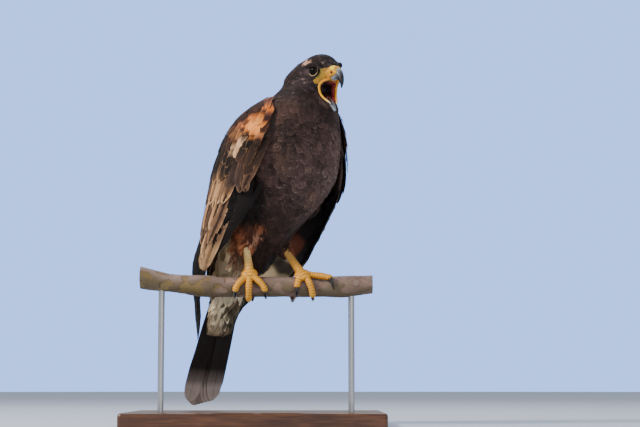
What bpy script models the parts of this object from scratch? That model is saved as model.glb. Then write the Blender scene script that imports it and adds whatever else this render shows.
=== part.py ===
"""Harris hawk calling from a cut length of branch, as a still life-size display model.

The bird is built in its own frame: +X forward, +Y to its left, +Z up, with the origin
on the branch axis midway between its feet. An empty turns that frame on the stand.
The stand stands on Z = 0 with the middle of its base at the origin.
"""
import math

import bmesh
import bpy
from mathutils import Matrix, Vector

MM = 0.001

# Stand and branch
BASE_SIZE = Vector((330.0, 230.0, 18.0)) * MM
BASE_BEVEL = 4.0 * MM
ROD_RADIUS = 4.0 * MM
ROD_SPACING = 245.0 * MM
ROD_SOCKET = 9.0 * MM
PERCH_HEIGHT = 178.0 * MM
PERCH_LENGTH = 300.0 * MM
PERCH_RADIUS = 13.5 * MM
PERCH_SET_BACK = -12.0 * MM
GAP = 0.3 * MM

# Pose on the stand
BIRD_SHIFT = 27.5 * MM
BODY_YAW = math.radians(-50.0)
HEAD_PLACE = Vector((75.0, 12.0, 267.0)) * MM
HEAD_YAW = math.radians(-5.0)
HEAD_PITCH = math.radians(-3.0)

# Body and folded wings together, seen as level slices: height above the branch axis,
# middle along X, half depth and half width, in millimetres
CLOAK = (
    (-66.0, -118.0, 32.0, 36.0),
    (-30.0, -97.0, 49.0, 46.0),
    (9.0, -72.0, 56.0, 69.0),
    (35.0, -55.0, 61.0, 82.0),
    (61.0, -38.0, 65.0, 85.0),
    (87.0, -23.0, 73.0, 87.0),
    (113.0, -8.0, 78.0, 89.0),
    (139.0, 2.0, 78.0, 90.0),
    (165.0, 9.0, 71.0, 88.0),
    (191.0, 17.0, 60.0, 84.0),
    (217.0, 28.0, 50.0, 70.0),
    (240.0, 43.0, 38.0, 46.0),
)
CLOAK_POWER = 2.3

# Body alone, from the vent to the base of the neck: height above the branch axis,
# middle along X and along Y, half depth and half width
TORSO = (
    (20.0, -54.0, 0.0, 14.0, 11.0),
    (27.0, -53.0, 0.0, 23.0, 18.0),
    (50.0, -43.0, 0.0, 36.0, 25.0),
    (87.0, -21.0, 0.0, 55.0, 43.0),
    (113.0, -6.0, 0.0, 67.0, 60.0),
    (139.0, 4.0, 0.0, 74.0, 71.0),
    (165.0, 12.0, 0.0, 72.0, 73.0),
    (191.0, 20.0, 0.0, 64.0, 71.0),
    (213.0, 32.0, 0.0, 55.0, 63.0),
    (230.0, 43.0, 2.0, 46.0, 53.0),
)
TORSO_POWER = 2.1
TORSO_RINGS = 15
TORSO_SIDES = 22

# Neck, from the top of the torso into the head
NECK = (
    (230.0, 43.0, 2.0, 46.0, 53.0),
    (242.0, 44.5, 5.0, 37.5, 42.0),
    (255.0, 46.5, 8.0, 30.5, 33.0),
    (267.0, 47.0, 9.0, 29.0, 30.0),
    (276.0, 50.0, 10.0, 24.0, 25.0),
    (286.0, 54.0, 11.0, 17.0, 18.0),
)
NECK_RINGS = 6

# Head seen from the front in slices along its own X: place, middle height,
# half width and half height, in millimetres from the point between the eyes
SKULL = (
    (-46.0, -6.0, 9.0, 9.0),
    (-41.0, -5.0, 18.0, 18.0),
    (-29.0, -3.0, 25.5, 26.0),
    (-10.0, -1.0, 27.5, 28.5),
    (2.0, 0.0, 25.5, 27.0),
    (10.0, 1.0, 21.5, 23.0),
    (17.0, 0.5, 16.0, 17.0),
    (22.0, -0.5, 12.0, 12.0),
)
SKULL_POWER = 2.2
JAW = (
    (-14.0, -16.0, 20.0, 16.0),
    (-4.0, -22.5, 18.5, 15.5),
    (6.0, -30.0, 16.0, 13.5),
    (13.0, -37.5, 12.5, 10.0),
    (19.0, -45.0, 8.5, 5.5),
)
MOUTH = (
    (1.0, -20.0, 6.0, 3.5),
    (7.0, -21.0, 10.0, 6.5),
    (11.0, -22.0, 13.0, 8.5),
    (14.0, -23.5, 18.0, 11.0),
    (20.0, -26.5, 20.0, 14.5),
    (28.0, -30.5, 22.0, 18.5),
    (48.0, -38.0, 24.0, 26.0),
)
EYE_PLACE = Vector((8.7, 16.6, 2.3)) * MM
EYE_RADIUS = 7.9 * MM
EYE_FACING = math.radians(68.0)

# Upper bill: X, Z, half width, half height and lean of each slice
BILL_UPPER = (
    (16.0, -1.5, 12.6, 10.8, 0.0),
    (21.0, -1.5, 10.6, 10.2, 2.0),
    (26.0, -2.2, 8.6, 9.4, 8.0),
    (31.0, -3.6, 7.0, 8.2, 18.0),
    (36.0, -6.2, 5.4, 6.4, 36.0),
    (40.0, -11.0, 3.8, 4.6, 60.0),
    (41.8, -17.6, 2.4, 2.9, 82.0),
    (40.9, -24.4, 0.7, 0.8, 98.0),
)
CERE_END = 0.44
BILL_LOWER = (
    (13.5, -33.0, 10.0, 3.3, 44.0),
    (18.0, -38.6, 7.6, 3.1, 50.0),
    (22.0, -44.2, 5.0, 2.6, 55.0),
    (24.8, -49.0, 2.2, 1.5, 60.0),
)
GAPE_RADIUS = 1.45 * MM
GAPE = (
    (25.0, 7.2, -9.8),
    (17.6, 12.0, -11.8),
    (12.6, 14.8, -16.0),
    (11.7, 15.0, -21.0),
    (12.6, 13.6, -27.6),
    (15.6, 11.6, -32.4),
    (18.4, 10.2, -35.6),
)
TONGUE = (
    (5.0, -24.5, 2.6, 1.5, 34.0),
    (10.0, -28.6, 4.0, 1.8, 42.0),
    (14.0, -32.8, 3.4, 1.6, 48.0),
    (17.4, -37.4, 1.4, 0.8, 54.0),
)

# Legs: place of each foot's middle and of each ankle in the bird's frame
FOOT_PLACE = {
    "right": Vector((-23.0, -27.6, 0.0)) * MM,
    "left": Vector((20.7, 24.7, 0.0)) * MM,
}
ANKLE_PLACE = {
    "right": Vector((-34.0, -31.0, 86.0)) * MM,
    "left": Vector((-33.0, 15.4, 76.0)) * MM,
}
TARSUS_RADIUS = 4.9 * MM
TOE_RADIUS = 4.4 * MM
CLAW_RADIUS = 2.5 * MM

# Toes as they lie round the branch: start and end along it from the foot's middle (mm),
# start and end angle from its top (degrees, front positive) and claw length (mm)
TOES = {
    "right": {
        "inner": (3.0, 20.0, 45.0, 112.0, 19.0),
        "middle": (0.0, -1.0, 50.0, 160.0, 19.0),
        "outer": (-3.0, -18.0, 45.0, 112.0, 17.0),
        "hind": (0.0, 3.0, -10.0, -110.0, 23.0),
    },
    "left": {
        "inner": (-3.0, -7.0, 48.0, 96.0, 19.0),
        "middle": (4.0, 13.0, 46.0, 136.0, 19.0),
        "outer": (8.0, 36.0, 34.0, 58.0, 17.0),
        "hind": (-3.0, -13.0, -28.0, -142.0, 23.0),
    },
}

# Angle of each foot's middle from the top of the branch, front positive (degrees)
FOOT_TURN = {"right": 34.0, "left": 42.0}

# Tail: root and tip of the middle feathers in the bird's frame
TAIL_ROOT = Vector((-80.0, -8.0, 72.0)) * MM
TAIL_TIP = Vector((-164.2, -15.4, -152.4)) * MM
TAIL_FEATHER_WIDTH = 27.0 * MM
TAIL_HALF_SPREAD = 18.0 * MM
TAIL_PAIRS = 6
TAIL_STEP = 2.2 * MM
TAIL_THICKNESS = 0.7 * MM
TAIL_LAYER = 2.1 * MM
TAIL_OUTLINE = ((0.0, 0.45), (0.25, 0.8), (0.6, 1.0), (0.9, 0.96), (1.0, 0.5))

# Overlapping vanes: thickness and the drop of their edges, and width along their length
VANE_THICKNESS = 1.0 * MM
VANE_OUTLINE = ((0.0, 0.6), (0.33, 0.95), (0.67, 1.0), (1.0, 0.4))

# Feathers of a folded wing: name, count, layers that they lie in, root of the first
# and of the last as height and share of the way across the wing, tip of the first and
# of the last, width, and how high root and tip lie over the wing's surface
WING_TIERS = (
    ("primary", 4, 4, (66.0, 0.16), (70.0, 0.36), (-66.0, 0.5), (-6.0, 0.4), 15.0, (-7.0, -5.4)),
    ("secondary", 5, 2, (116.0, 0.2), (124.0, 0.88), (2.0, 0.18), (18.0, 0.86), 27.0, (-5.0, 0.6)),
    ("greater", 5, 2, (158.0, 0.14), (170.0, 0.88), (80.0, 0.13), (90.0, 0.88), 34.0, (-5.0, 1.2)),
    ("median", 5, 2, (194.0, 0.14), (204.0, 0.86), (126.0, 0.13), (134.0, 0.86), 35.0, (-5.0, 1.6)),
    ("lesser", 5, 2, (230.0, 0.18), (230.0, 0.82), (168.0, 0.13), (176.0, 0.86), 35.0, (-5.0, 1.6)),
)
# From one layer to the next, and how far the left wing's tip turns over the tail
VANE_STEP = 1.4
LEFT_TIP_TURN = 16.0

# Feathers over and under the root of the tail: count, first and last angle round the
# rump, heights of root and tip, width, lifts
RUMP_TIERS = (
    ("under_long", 3, (-38.0, 38.0), (18.0, -66.0), 22.0, (-4.0, 1.2)),
    ("under_short", 3, (-50.0, 50.0), (42.0, -26.0), 26.0, (-4.0, 2.0)),
    ("upper_long", 3, (140.0, 220.0), (46.0, -18.0), 22.0, (-4.0, 3.6)),
)

COLOURS = {
    "torso": (0.050, 0.026, 0.018),
    "wing": (0.060, 0.030, 0.018),
    "tail": (0.022, 0.016, 0.014),
    "thigh": (0.200, 0.070, 0.028),
    "cere": (0.900, 0.600, 0.060),
    "horn": (0.090, 0.110, 0.140),
    "claw": (0.015, 0.014, 0.014),
    "leg": (0.850, 0.580, 0.110),
    "eye": (0.030, 0.014, 0.008),
    "tongue": (0.350, 0.190, 0.200),
    "bark": (0.300, 0.240, 0.190),
    "base": (0.080, 0.045, 0.028),
    "steel": (0.550, 0.560, 0.570),
}
ROUGHNESS = {"horn": 0.35, "claw": 0.3, "eye": 0.08, "steel": 0.3, "base": 0.4, "cere": 0.45}


def clear_scene():
    """Remove every object that the opened file holds."""
    for old in list(bpy.data.objects):
        bpy.data.objects.remove(old, do_unlink=True)


def new_collection(name):
    """Return a collection linked to the scene, made if it is missing."""
    found = bpy.data.collections.get(name)
    if found is None:
        found = bpy.data.collections.new(name)
        bpy.context.scene.collection.children.link(found)
    return found


def finish(name):
    """Return the material of that name from the colour table."""
    found = bpy.data.materials.get(name)
    if found is not None:
        return found
    made = bpy.data.materials.new(name)
    made.use_nodes = True
    shader = made.node_tree.nodes["Principled BSDF"]
    shader.inputs["Base Color"].default_value = (*COLOURS[name], 1.0)
    shader.inputs["Roughness"].default_value = ROUGHNESS.get(name, 0.7)
    shader.inputs["Metallic"].default_value = 1.0 if name == "steel" else 0.0
    return made


def frame_empty(name, parent, place, turn=(0.0, 0.0, 0.0)):
    """Return an empty that carries a frame of the model."""
    empty = bpy.data.objects.new(name, None)
    empty.parent = parent
    empty.location = place
    empty.rotation_euler = turn
    new_collection("harris_hawk").objects.link(empty)
    return empty


def solid(name, mesh, parent, colour):
    """Return a named object of the model that holds the mesh."""
    made = bpy.data.objects.new(name, mesh)
    made.parent = parent
    mesh.materials.clear()
    mesh.materials.append(finish(colour))
    new_collection("harris_hawk").objects.link(made)
    return made


def cutter(name, mesh, parent):
    """Return an object that only cuts others."""
    made = bpy.data.objects.new(name, mesh)
    made.parent = parent
    made.hide_render = True
    made.display_type = "WIRE"
    new_collection("cutters").objects.link(made)
    return made


def mesh_from(bm, name):
    """Turn a bmesh into a mesh with its faces pointing out."""
    bmesh.ops.recalc_face_normals(bm, faces=bm.faces)
    mesh = bpy.data.meshes.new(name)
    bm.to_mesh(mesh)
    bm.free()
    mesh.shade_smooth()
    mesh.set_sharp_from_angle(angle=math.radians(35.0))
    return mesh


def evaluated_mesh(obj):
    """Return the object's mesh as its modifiers leave it."""
    bpy.context.view_layer.update()
    depsgraph = bpy.context.evaluated_depsgraph_get()
    return bpy.data.meshes.new_from_object(obj.evaluated_get(depsgraph))


def volume_of(faces):
    """Return the signed volume inside a set of triangles."""
    total = 0.0
    for face in faces:
        first = face.verts[0].co
        for left, right in zip(face.verts[1:], face.verts[2:]):
            total += first.dot(left.co.cross(right.co)) / 6.0
    return total


def islands(bm):
    """Return the closed surfaces of a bmesh as lists of faces."""
    unseen = set(bm.faces)
    found = []
    while unseen:
        group = [unseen.pop()]
        for face in group:
            for edge in face.edges:
                for other in edge.link_faces:
                    if other in unseen:
                        unseen.remove(other)
                        group.append(other)
        found.append(group)
    return found


def keep_largest(obj):
    """Drop every closed surface of the object but the one that holds the most."""
    bm = bmesh.new()
    bm.from_mesh(obj.data)
    groups = islands(bm)
    if len(groups) > 1:
        groups.sort(key=volume_of)
        loose = [face for group in groups[:-1] for face in group]
        bmesh.ops.delete(bm, geom=loose, context="FACES")
        spare = [vert for vert in bm.verts if not vert.link_faces]
        bmesh.ops.delete(bm, geom=spare, context="VERTS")
    bm.to_mesh(obj.data)
    bm.free()


def combine(target, operation, operand):
    """Apply a Boolean with one object, or with the objects of one collection."""
    modifier = target.modifiers.new(operation.lower(), "BOOLEAN")
    modifier.operation = operation
    modifier.solver = "MANIFOLD"
    if isinstance(operand, bpy.types.Collection):
        modifier.operand_type = "COLLECTION"
        modifier.collection = operand
    else:
        modifier.object = operand
    joined = evaluated_mesh(target)
    material = target.data.materials[0]
    target.modifiers.clear()
    target.data = joined
    joined.materials.clear()
    joined.materials.append(material)
    keep_largest(target)


def join_all(target, meshes, parent):
    """Join closed meshes to the target by one union."""
    group = new_collection("joining")
    for index, mesh in enumerate(meshes):
        piece = bpy.data.objects.new(f"joining_{index}", mesh)
        piece.parent = parent
        group.objects.link(piece)
    bpy.context.view_layer.update()
    combine(target, "UNION", group)
    for piece in list(group.objects):
        bpy.data.objects.remove(piece, do_unlink=True)
    bpy.data.collections.remove(group)


def smooth_at(rows, key):
    """Read a smooth curve through table rows at one value of their first column."""
    last = len(rows) - 1
    index = 0
    while index < last - 1 and key > rows[index + 1][0]:
        index += 1
    start, end = rows[index], rows[index + 1]
    before = rows[max(index - 1, 0)]
    after = rows[min(index + 2, last)]
    span = end[0] - start[0]
    part = min(max((key - start[0]) / span, 0.0), 1.0)
    values = []
    for column in range(1, len(start)):
        slope_in = (end[column] - before[column]) / (end[0] - before[0]) * span
        slope_out = (after[column] - start[column]) / (after[0] - start[0]) * span
        square, cube = part * part, part ** 3
        values.append(
            (2 * cube - 3 * square + 1) * start[column]
            + (cube - 2 * square + part) * slope_in
            + (3 * square - 2 * cube) * end[column]
            + (cube - square) * slope_out
        )
    return values


def bulge(angle, power):
    """Return the unit superellipse point at an angle."""
    cos, sin = math.cos(angle), math.sin(angle)
    reach = (abs(cos) ** power + abs(sin) ** power) ** (-1.0 / power)
    return cos * reach, sin * reach


def loft(name, rings):
    """Skin rings of equal point counts into one closed mesh."""
    bm = bmesh.new()
    loops = [[bm.verts.new(point) for point in ring] for ring in rings]
    for lower, upper in zip(loops, loops[1:]):
        for index, vert in enumerate(lower):
            after = (index + 1) % len(lower)
            bm.faces.new((vert, lower[after], upper[after], upper[index]))
    bm.faces.new(reversed(loops[0]))
    bm.faces.new(loops[-1])
    return mesh_from(bm, name)


def level_loft(name, rows, count, power, sides, grow=0.0):
    """Skin level slices, given by rows of height, middle in X and Y, half depth and width."""
    rings = []
    low, high = rows[0][0], rows[-1][0]
    for step in range(count):
        height = low + (high - low) * step / (count - 1)
        x, y, depth, width = smooth_at(rows, height)
        ring = []
        for side in range(sides):
            along, across = bulge(2 * math.pi * side / sides, power)
            out = Vector((along * (depth * MM + grow), across * (width * MM + grow), 0.0))
            ring.append(Vector((x, y, height)) * MM + out)
        rings.append(ring)
    if grow:
        rings.insert(0, [point - Vector((0, 0, grow)) for point in rings[0]])
        rings.append([point + Vector((0, 0, grow)) for point in rings[-1]])
    return loft(name, rings)


def front_loft(name, rows, count, power, sides, grow=0.0):
    """Skin upright slices, given by rows of X, middle height, half width and half height."""
    rings = []
    low, high = rows[0][0], rows[-1][0]
    for step in range(count):
        place = low + (high - low) * step / (count - 1)
        middle, width, height = smooth_at(rows, place)
        shift = -grow if step == 0 else grow if step == count - 1 else 0.0
        ring = []
        for side in range(sides):
            across, up = bulge(2 * math.pi * side / sides, power)
            y = across * (width * MM + grow)
            z = middle * MM + up * (height * MM + grow)
            ring.append(Vector((place * MM + shift, y, z)))
        rings.append(ring)
    return loft(name, rings)


def leaning_loft(name, rows, start, end, count, power, sides, grow=0.0):
    """Skin slices that lean forward, from one share of their path to another."""
    numbered = [(index / (len(rows) - 1), *row) for index, row in enumerate(rows)]
    rings = []
    for step in range(count):
        share = start + (end - start) * step / (count - 1)
        x, z, width, height, lean = smooth_at(numbered, share)
        tilt = Matrix.Rotation(math.radians(lean), 3, "Y")
        shift = -grow if step == 0 else grow if step == count - 1 else 0.0
        ring = []
        for side in range(sides):
            across, up = bulge(2 * math.pi * side / sides, power)
            flat = Vector((shift, across * (width * MM + grow), up * (height * MM + grow)))
            ring.append(Vector((x * MM, 0, z * MM)) + tilt @ flat)
        rings.append(ring)
    return loft(name, rings)


def tube(name, points, radii, resolution=2):
    """Return the closed mesh of a curve with a round section at each point."""
    curve = bpy.data.curves.new(name, "CURVE")
    curve.dimensions = "3D"
    curve.bevel_depth = 1.0
    curve.bevel_resolution = resolution
    curve.use_fill_caps = True
    spline = curve.splines.new("POLY")
    spline.points.add(len(points) - 1)
    for target, point, radius in zip(spline.points, points, radii):
        target.co = (*point, 1.0)
        target.radius = radius
    holder = bpy.data.objects.new(name, curve)
    bpy.context.scene.collection.objects.link(holder)
    mesh = evaluated_mesh(holder)
    bpy.data.objects.remove(holder, do_unlink=True)
    bpy.data.curves.remove(curve)
    bm = bmesh.new()
    bm.from_mesh(mesh)
    bmesh.ops.remove_doubles(bm, verts=bm.verts, dist=0.01 * MM)
    bmesh.ops.recalc_face_normals(bm, faces=bm.faces)
    bm.to_mesh(mesh)
    bm.free()
    mesh.shade_smooth()
    mesh.set_sharp_from_angle(angle=math.radians(35.0))
    return mesh


def arc_points(points, count):
    """Read evenly spaced places on a smooth curve through the points."""
    rows = [(index, *point) for index, point in enumerate(points)]
    last = len(points) - 1
    return [Vector(smooth_at(rows, last * step / (count - 1))) for step in range(count)]


def sheet(name, outer, inner):
    """Close two equal grids of points into a thin solid, split alike on both faces."""
    bm = bmesh.new()
    top = [[bm.verts.new(point) for point in row] for row in outer]
    low = [[bm.verts.new(point) for point in row] for row in inner]
    rows, columns = len(outer), len(outer[0])
    for row in range(rows - 1):
        for column in range(columns - 1):
            a, b = (row, column), (row, column + 1)
            c, d = (row + 1, column + 1), (row + 1, column)
            for first, second, third in ((a, b, c), (a, c, d)):
                bm.faces.new([top[i][j] for i, j in (first, second, third)])
                bm.faces.new([low[i][j] for i, j in (third, second, first)])
    rim = [(0, column) for column in range(columns)]
    rim += [(row, columns - 1) for row in range(1, rows)]
    rim += [(rows - 1, column) for column in range(columns - 2, -1, -1)]
    rim += [(row, 0) for row in range(rows - 2, 0, -1)]
    for (i, j), (k, m) in zip(rim, rim[1:] + rim[:1]):
        bm.faces.new((top[i][j], low[i][j], low[k][m], top[k][m]))
    return mesh_from(bm, name)


def sphere(name, radius, matrix, segments=16, rings=9):
    """Return the mesh of a sphere, placed and stretched by a matrix."""
    bm = bmesh.new()
    bmesh.ops.create_uvsphere(bm, u_segments=segments, v_segments=rings, radius=radius)
    bmesh.ops.transform(bm, matrix=matrix, verts=bm.verts)
    return mesh_from(bm, name)


def cylinder(name, radius, low, high, sides=24):
    """Return an upright cylinder between two points on one plumb line."""
    bm = bmesh.new()
    depth = high.z - low.z
    bmesh.ops.create_cone(
        bm, cap_ends=True, segments=sides, radius1=radius, radius2=radius, depth=depth
    )
    bmesh.ops.translate(bm, verts=bm.verts, vec=(low + high) / 2)
    return mesh_from(bm, name)


def build_stand(stand):
    """Make the base, the branch and the two rods that hold it."""
    bm = bmesh.new()
    bmesh.ops.create_cube(bm, size=1.0)
    bmesh.ops.scale(bm, vec=BASE_SIZE, verts=bm.verts)
    bmesh.ops.translate(bm, vec=(0, 0, BASE_SIZE.z / 2), verts=bm.verts)
    upper = [
        edge for edge in bm.edges
        if all(vert.co.z > BASE_SIZE.z / 2 for vert in edge.verts)
        or abs(edge.verts[0].co.z - edge.verts[1].co.z) > BASE_SIZE.z / 2
    ]
    bmesh.ops.bevel(
        bm, geom=upper, affect="EDGES", offset=BASE_BEVEL, segments=2, profile=0.5,
        material=-1,
    )
    base = solid("stand_base", mesh_from(bm, "stand_base"), stand, "base")
    perch = solid("perch", perch_mesh(), stand, "bark")
    perch_room = cutter("perch_room", perch_mesh(GAP * 1.3), stand)
    for name, side in (("left", -1), ("right", 1)):
        low = Vector((side * ROD_SPACING / 2, PERCH_SET_BACK, BASE_SIZE.z - ROD_SOCKET))
        high = low.copy()
        high.z = perch_height(low.x) - PERCH_RADIUS + ROD_SOCKET
        rod = cylinder("rod", ROD_RADIUS, low, high)
        solid(f"stand_rod_{name}", rod, stand, "steel")
        reach = Vector((0, 0, GAP))
        room = cylinder("rod_room", ROD_RADIUS + GAP, low - reach, high + reach)
        socket = cutter(f"rod_room_{name}", room, stand)
        combine(base, "DIFFERENCE", socket)
        combine(perch, "DIFFERENCE", socket)
    return perch_room


def perch_height(x):
    """Return the height of the branch axis: level under the feet, rising to its ends."""
    away = max(abs(x - BIRD_SHIFT) - 62.0 * MM, 0.0)
    return PERCH_HEIGHT + 0.9 * away * away


def perch_mesh(grow=0.0):
    """Skin the branch with a round section that swells a little at old knots."""
    steps = 14
    points, radii = [], []
    for step in range(steps + 1):
        x = PERCH_LENGTH * (step / steps - 0.5)
        away = max(abs(x - BIRD_SHIFT) - 62.0 * MM, 0.0)
        swell = 1.0 + 0.09 * math.sin(x * 74.0) * min(away / (30.0 * MM), 1.0)
        points.append(Vector((x, PERCH_SET_BACK, perch_height(x))))
        radii.append(PERCH_RADIUS * swell + grow)
    return tube("perch", points, radii, resolution=4)


def build_body(bird):
    """Make the torso and the neck, one running into the other."""
    torso_mesh = level_loft("torso", TORSO, TORSO_RINGS, TORSO_POWER, TORSO_SIDES)
    torso = solid("torso", torso_mesh, bird, "torso")
    rows = [list(row) for row in NECK]
    rows[0][0] += GAP / MM
    neck_mesh = level_loft("neck", rows, NECK_RINGS, TORSO_POWER, TORSO_SIDES)
    neck = solid("neck", neck_mesh, bird, "torso")
    room = level_loft("torso_room", TORSO, TORSO_RINGS, TORSO_POWER, TORSO_SIDES, GAP * 1.3)
    torso_room = cutter("torso_room", room, bird)
    room = level_loft("neck_room", rows, NECK_RINGS, TORSO_POWER, TORSO_SIDES, GAP * 1.3)
    return torso, neck, torso_room, cutter("neck_room", room, bird)


def eye_matrix(side, grow=0.0):
    """Return the place of an eye and the way it looks, +Z outward."""
    place = Vector((EYE_PLACE.x, side * EYE_PLACE.y, EYE_PLACE.z))
    facing = Matrix.Rotation(side * EYE_FACING, 4, "Z") @ Matrix.Rotation(math.pi / 2, 4, "Y")
    return Matrix.Translation(place) @ facing


def skull_and_jaw(grow):
    """Return the meshes that the head is joined from, grown outward for a cutter."""
    skull = front_loft("skull", SKULL, 12, SKULL_POWER, 20, grow)
    jaw = front_loft("jaw", JAW, 6, SKULL_POWER, 16, grow)
    return skull, jaw


def build_head(head_frame, neck, torso_room):
    """Make the head with its brows, lids and open mouth, the bill, eyes and tongue."""
    skull, jaw = skull_and_jaw(0.0)
    head = solid("head", skull, head_frame, "torso")
    forms = [jaw]
    for side in (-1, 1):
        brow = [(-1, 22.5, 10.5), (5, 22.6, 11.6), (12, 20.0, 10.6), (18, 15.2, 7.8)]
        line = [Vector((x, side * y, z)) * MM for x, y, z in brow]
        radii = [1.6 * MM, 3.0 * MM, 2.9 * MM, 1.4 * MM]
        forms.append(tube("brow", arc_points(line, 6), stretch(radii, 6), 1))
        forms.append(eyelid(side))
    join_all(head, forms, head_frame)
    mouth = cutter("mouth_room", front_loft("mouth", MOUTH, 9, 2.4, 16), head_frame)
    combine(head, "DIFFERENCE", mouth)
    combine(head, "DIFFERENCE", torso_room)
    for side, name in ((-1, "right"), (1, "left")):
        ball = sphere("eye", EYE_RADIUS, eye_matrix(side))
        solid(f"eye_{name}", ball, head_frame, "eye")
        room = sphere("eye_room", EYE_RADIUS + 1.2 * GAP, eye_matrix(side))
        combine(head, "DIFFERENCE", cutter(f"eye_room_{name}", room, head_frame))

    lower = leaning_loft("bill_lower", BILL_LOWER, 0.0, 1.0, 7, 2.2, 14)
    solid("bill_lower", lower, head_frame, "horn")
    room = leaning_loft("bill_lower_room", BILL_LOWER, 0.0, 1.0, 7, 2.2, 14, GAP * 1.2)
    bill_room = cutter("bill_lower_room", room, head_frame)
    combine(head, "DIFFERENCE", bill_room)

    skull_room, jaw_room = skull_and_jaw(GAP * 1.3)
    skull_cut = cutter("skull_room", skull_room, head_frame)
    jaw_cut = cutter("jaw_room", jaw_room, head_frame)
    combine(neck, "DIFFERENCE", skull_cut)
    combine(neck, "DIFFERENCE", jaw_cut)

    cere = leaning_loft("cere", BILL_UPPER, 0.0, CERE_END, 7, 2.2, 18)
    cere = solid("cere", cere, head_frame, "cere")
    combine(cere, "DIFFERENCE", skull_cut)
    for side in (-1, 1):
        place = Matrix.Translation(Vector((29.4, side * 7.7, -2.4)) * MM)
        shape = Matrix.Diagonal((1.0, 1.0, 1.5, 1.0))
        nostril = sphere("nostril", 1.4 * MM, place @ shape, 10, 6)
        combine(cere, "DIFFERENCE", cutter(f"nostril_{side}", nostril, head_frame))
    gape_lines = [[Vector((x, side * y, z)) * MM for x, y, z in GAPE] for side in (-1, 1)]
    radii = [GAPE_RADIUS] * 10
    join_all(cere, [tube("gape", arc_points(line, 10), radii, 1) for line in gape_lines], head_frame)
    for side, line in enumerate(gape_lines):
        room = tube("gape_room", arc_points(line, 10), [GAPE_RADIUS + 1.3 * GAP] * 10, 1)
        combine(head, "DIFFERENCE", cutter(f"gape_room_{side}", room, head_frame))
    upper = leaning_loft("bill_upper", BILL_UPPER, CERE_END + 0.008, 1.0, 11, 2.2, 18)
    solid("bill_upper", upper, head_frame, "horn")
    tongue = leaning_loft("tongue", TONGUE, 0.0, 1.0, 6, 2.0, 10)
    tongue = solid("tongue", tongue, head_frame, "tongue")
    jaw_floor = front_loft("mouth_floor", MOUTH, 9, 2.4, 16, -GAP * 1.3)
    combine(tongue, "INTERSECT", cutter("mouth_floor", jaw_floor, head_frame))
    combine(tongue, "DIFFERENCE", bill_room)
    return head


def stretch(values, count):
    """Read a short list of numbers at more, evenly spaced places."""
    rows = list(enumerate(values))
    last = len(values) - 1
    return [smooth_at(rows, last * step / (count - 1))[0] for step in range(count)]


def eyelid(side):
    """Return the ring of skin round an eye."""
    bm = bmesh.new()
    around, across = 14, 5
    ring_radius, lip = 6.6 * MM, 1.1 * MM
    lift = 4.5 * MM
    grid = []
    for step in range(around):
        turn = 2 * math.pi * step / around
        out = Vector((math.cos(turn), math.sin(turn), 0.0))
        row = []
        for part in range(across):
            roll = 2 * math.pi * part / across
            point = out * (ring_radius + lip * math.cos(roll))
            row.append(bm.verts.new(point + Vector((0, 0, lift + lip * math.sin(roll)))))
        grid.append(row)
    for step in range(around):
        after = (step + 1) % around
        for part in range(across):
            beside = (part + 1) % across
            bm.faces.new((grid[step][part], grid[after][part],
                          grid[after][beside], grid[step][beside]))
    bmesh.ops.transform(bm, matrix=eye_matrix(side), verts=bm.verts)
    return mesh_from(bm, "eyelid")


def cloak_point(height, angle, lift=0.0):
    """Return the point of the folded wings' outer surface at a height and an angle.

    The height is in millimetres, and the angle in degrees from straight ahead.
    """
    middle, depth, width = smooth_at(CLOAK, height)
    along, across = bulge(math.radians(angle), CLOAK_POWER)
    x = middle * MM + along * (depth * MM + lift)
    return Vector((x, across * (width * MM + lift), height * MM))


# Edges of a folded wing as angles round the cloak: height, leading edge, dorsal edge
WING_EDGES = (
    (-66.0, 132.0, 138.0),
    (-30.0, 121.0, 139.0),
    (-12.0, 117.0, 141.0),
    (9.0, 87.0, 144.0),
    (35.0, 73.0, 148.0),
    (61.0, 65.0, 152.0),
    (87.0, 58.0, 157.0),
    (113.0, 56.0, 161.0),
    (139.0, 55.0, 165.0),
    (165.0, 52.0, 168.0),
    (191.0, 47.0, 168.0),
    (217.0, 50.0, 165.0),
    (234.0, 74.0, 150.0),
)
WING_SHELL = 6.0
WING_SHELL_SINK = -2.4 * MM
WING_SHELL_LOW = 2.0
WING_SHELL_INSET = 0.05


def wing_angle(side, height, share):
    """Return the angle round the cloak at a share of the way across a folded wing.

    The tip of the left wing lies closer over the tail.
    """
    front, back = smooth_at(WING_EDGES, height)
    turn = 0.0
    if side > 0:
        turn = LEFT_TIP_TURN * min(max((20.0 - height) / 32.0, 0.0), 1.0)
    return front + (back - front) * share + turn


def vane(surface, way, width, lifts):
    """Return one thin curved feather laid over a surface.

    The surface gives a point from a height, an angle and a lift, and the way gives
    the feather's height and angle at a share of its length from root to tip.
    """
    rows = 4
    outer, inner = [], []
    for row in range(rows):
        share = row / (rows - 1)
        height, angle = way(share)
        lift = (lifts[1] - (lifts[1] - lifts[0]) * (1.0 - share) ** 2) * MM
        half = width / 2 * MM * smooth_at(VANE_OUTLINE, share)[0]
        degree = (surface(height, angle + 1.0, 0.0) - surface(height, angle, 0.0)).length
        spread = half / degree
        thickness = VANE_THICKNESS * (1.0 - 0.35 * share)
        top, under = [], []
        for edge in (-1, 0, 1):
            top.append(surface(height, angle + edge * spread, lift))
            under.append(surface(height, angle + edge * spread, lift - thickness))
        outer.append(top)
        inner.append(under)
    return sheet("vane", outer, inner)


def between(first, last, share):
    """Return the pair of numbers at a share of the way between two pairs."""
    return tuple(a + (b - a) * share for a, b in zip(first, last))


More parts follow.
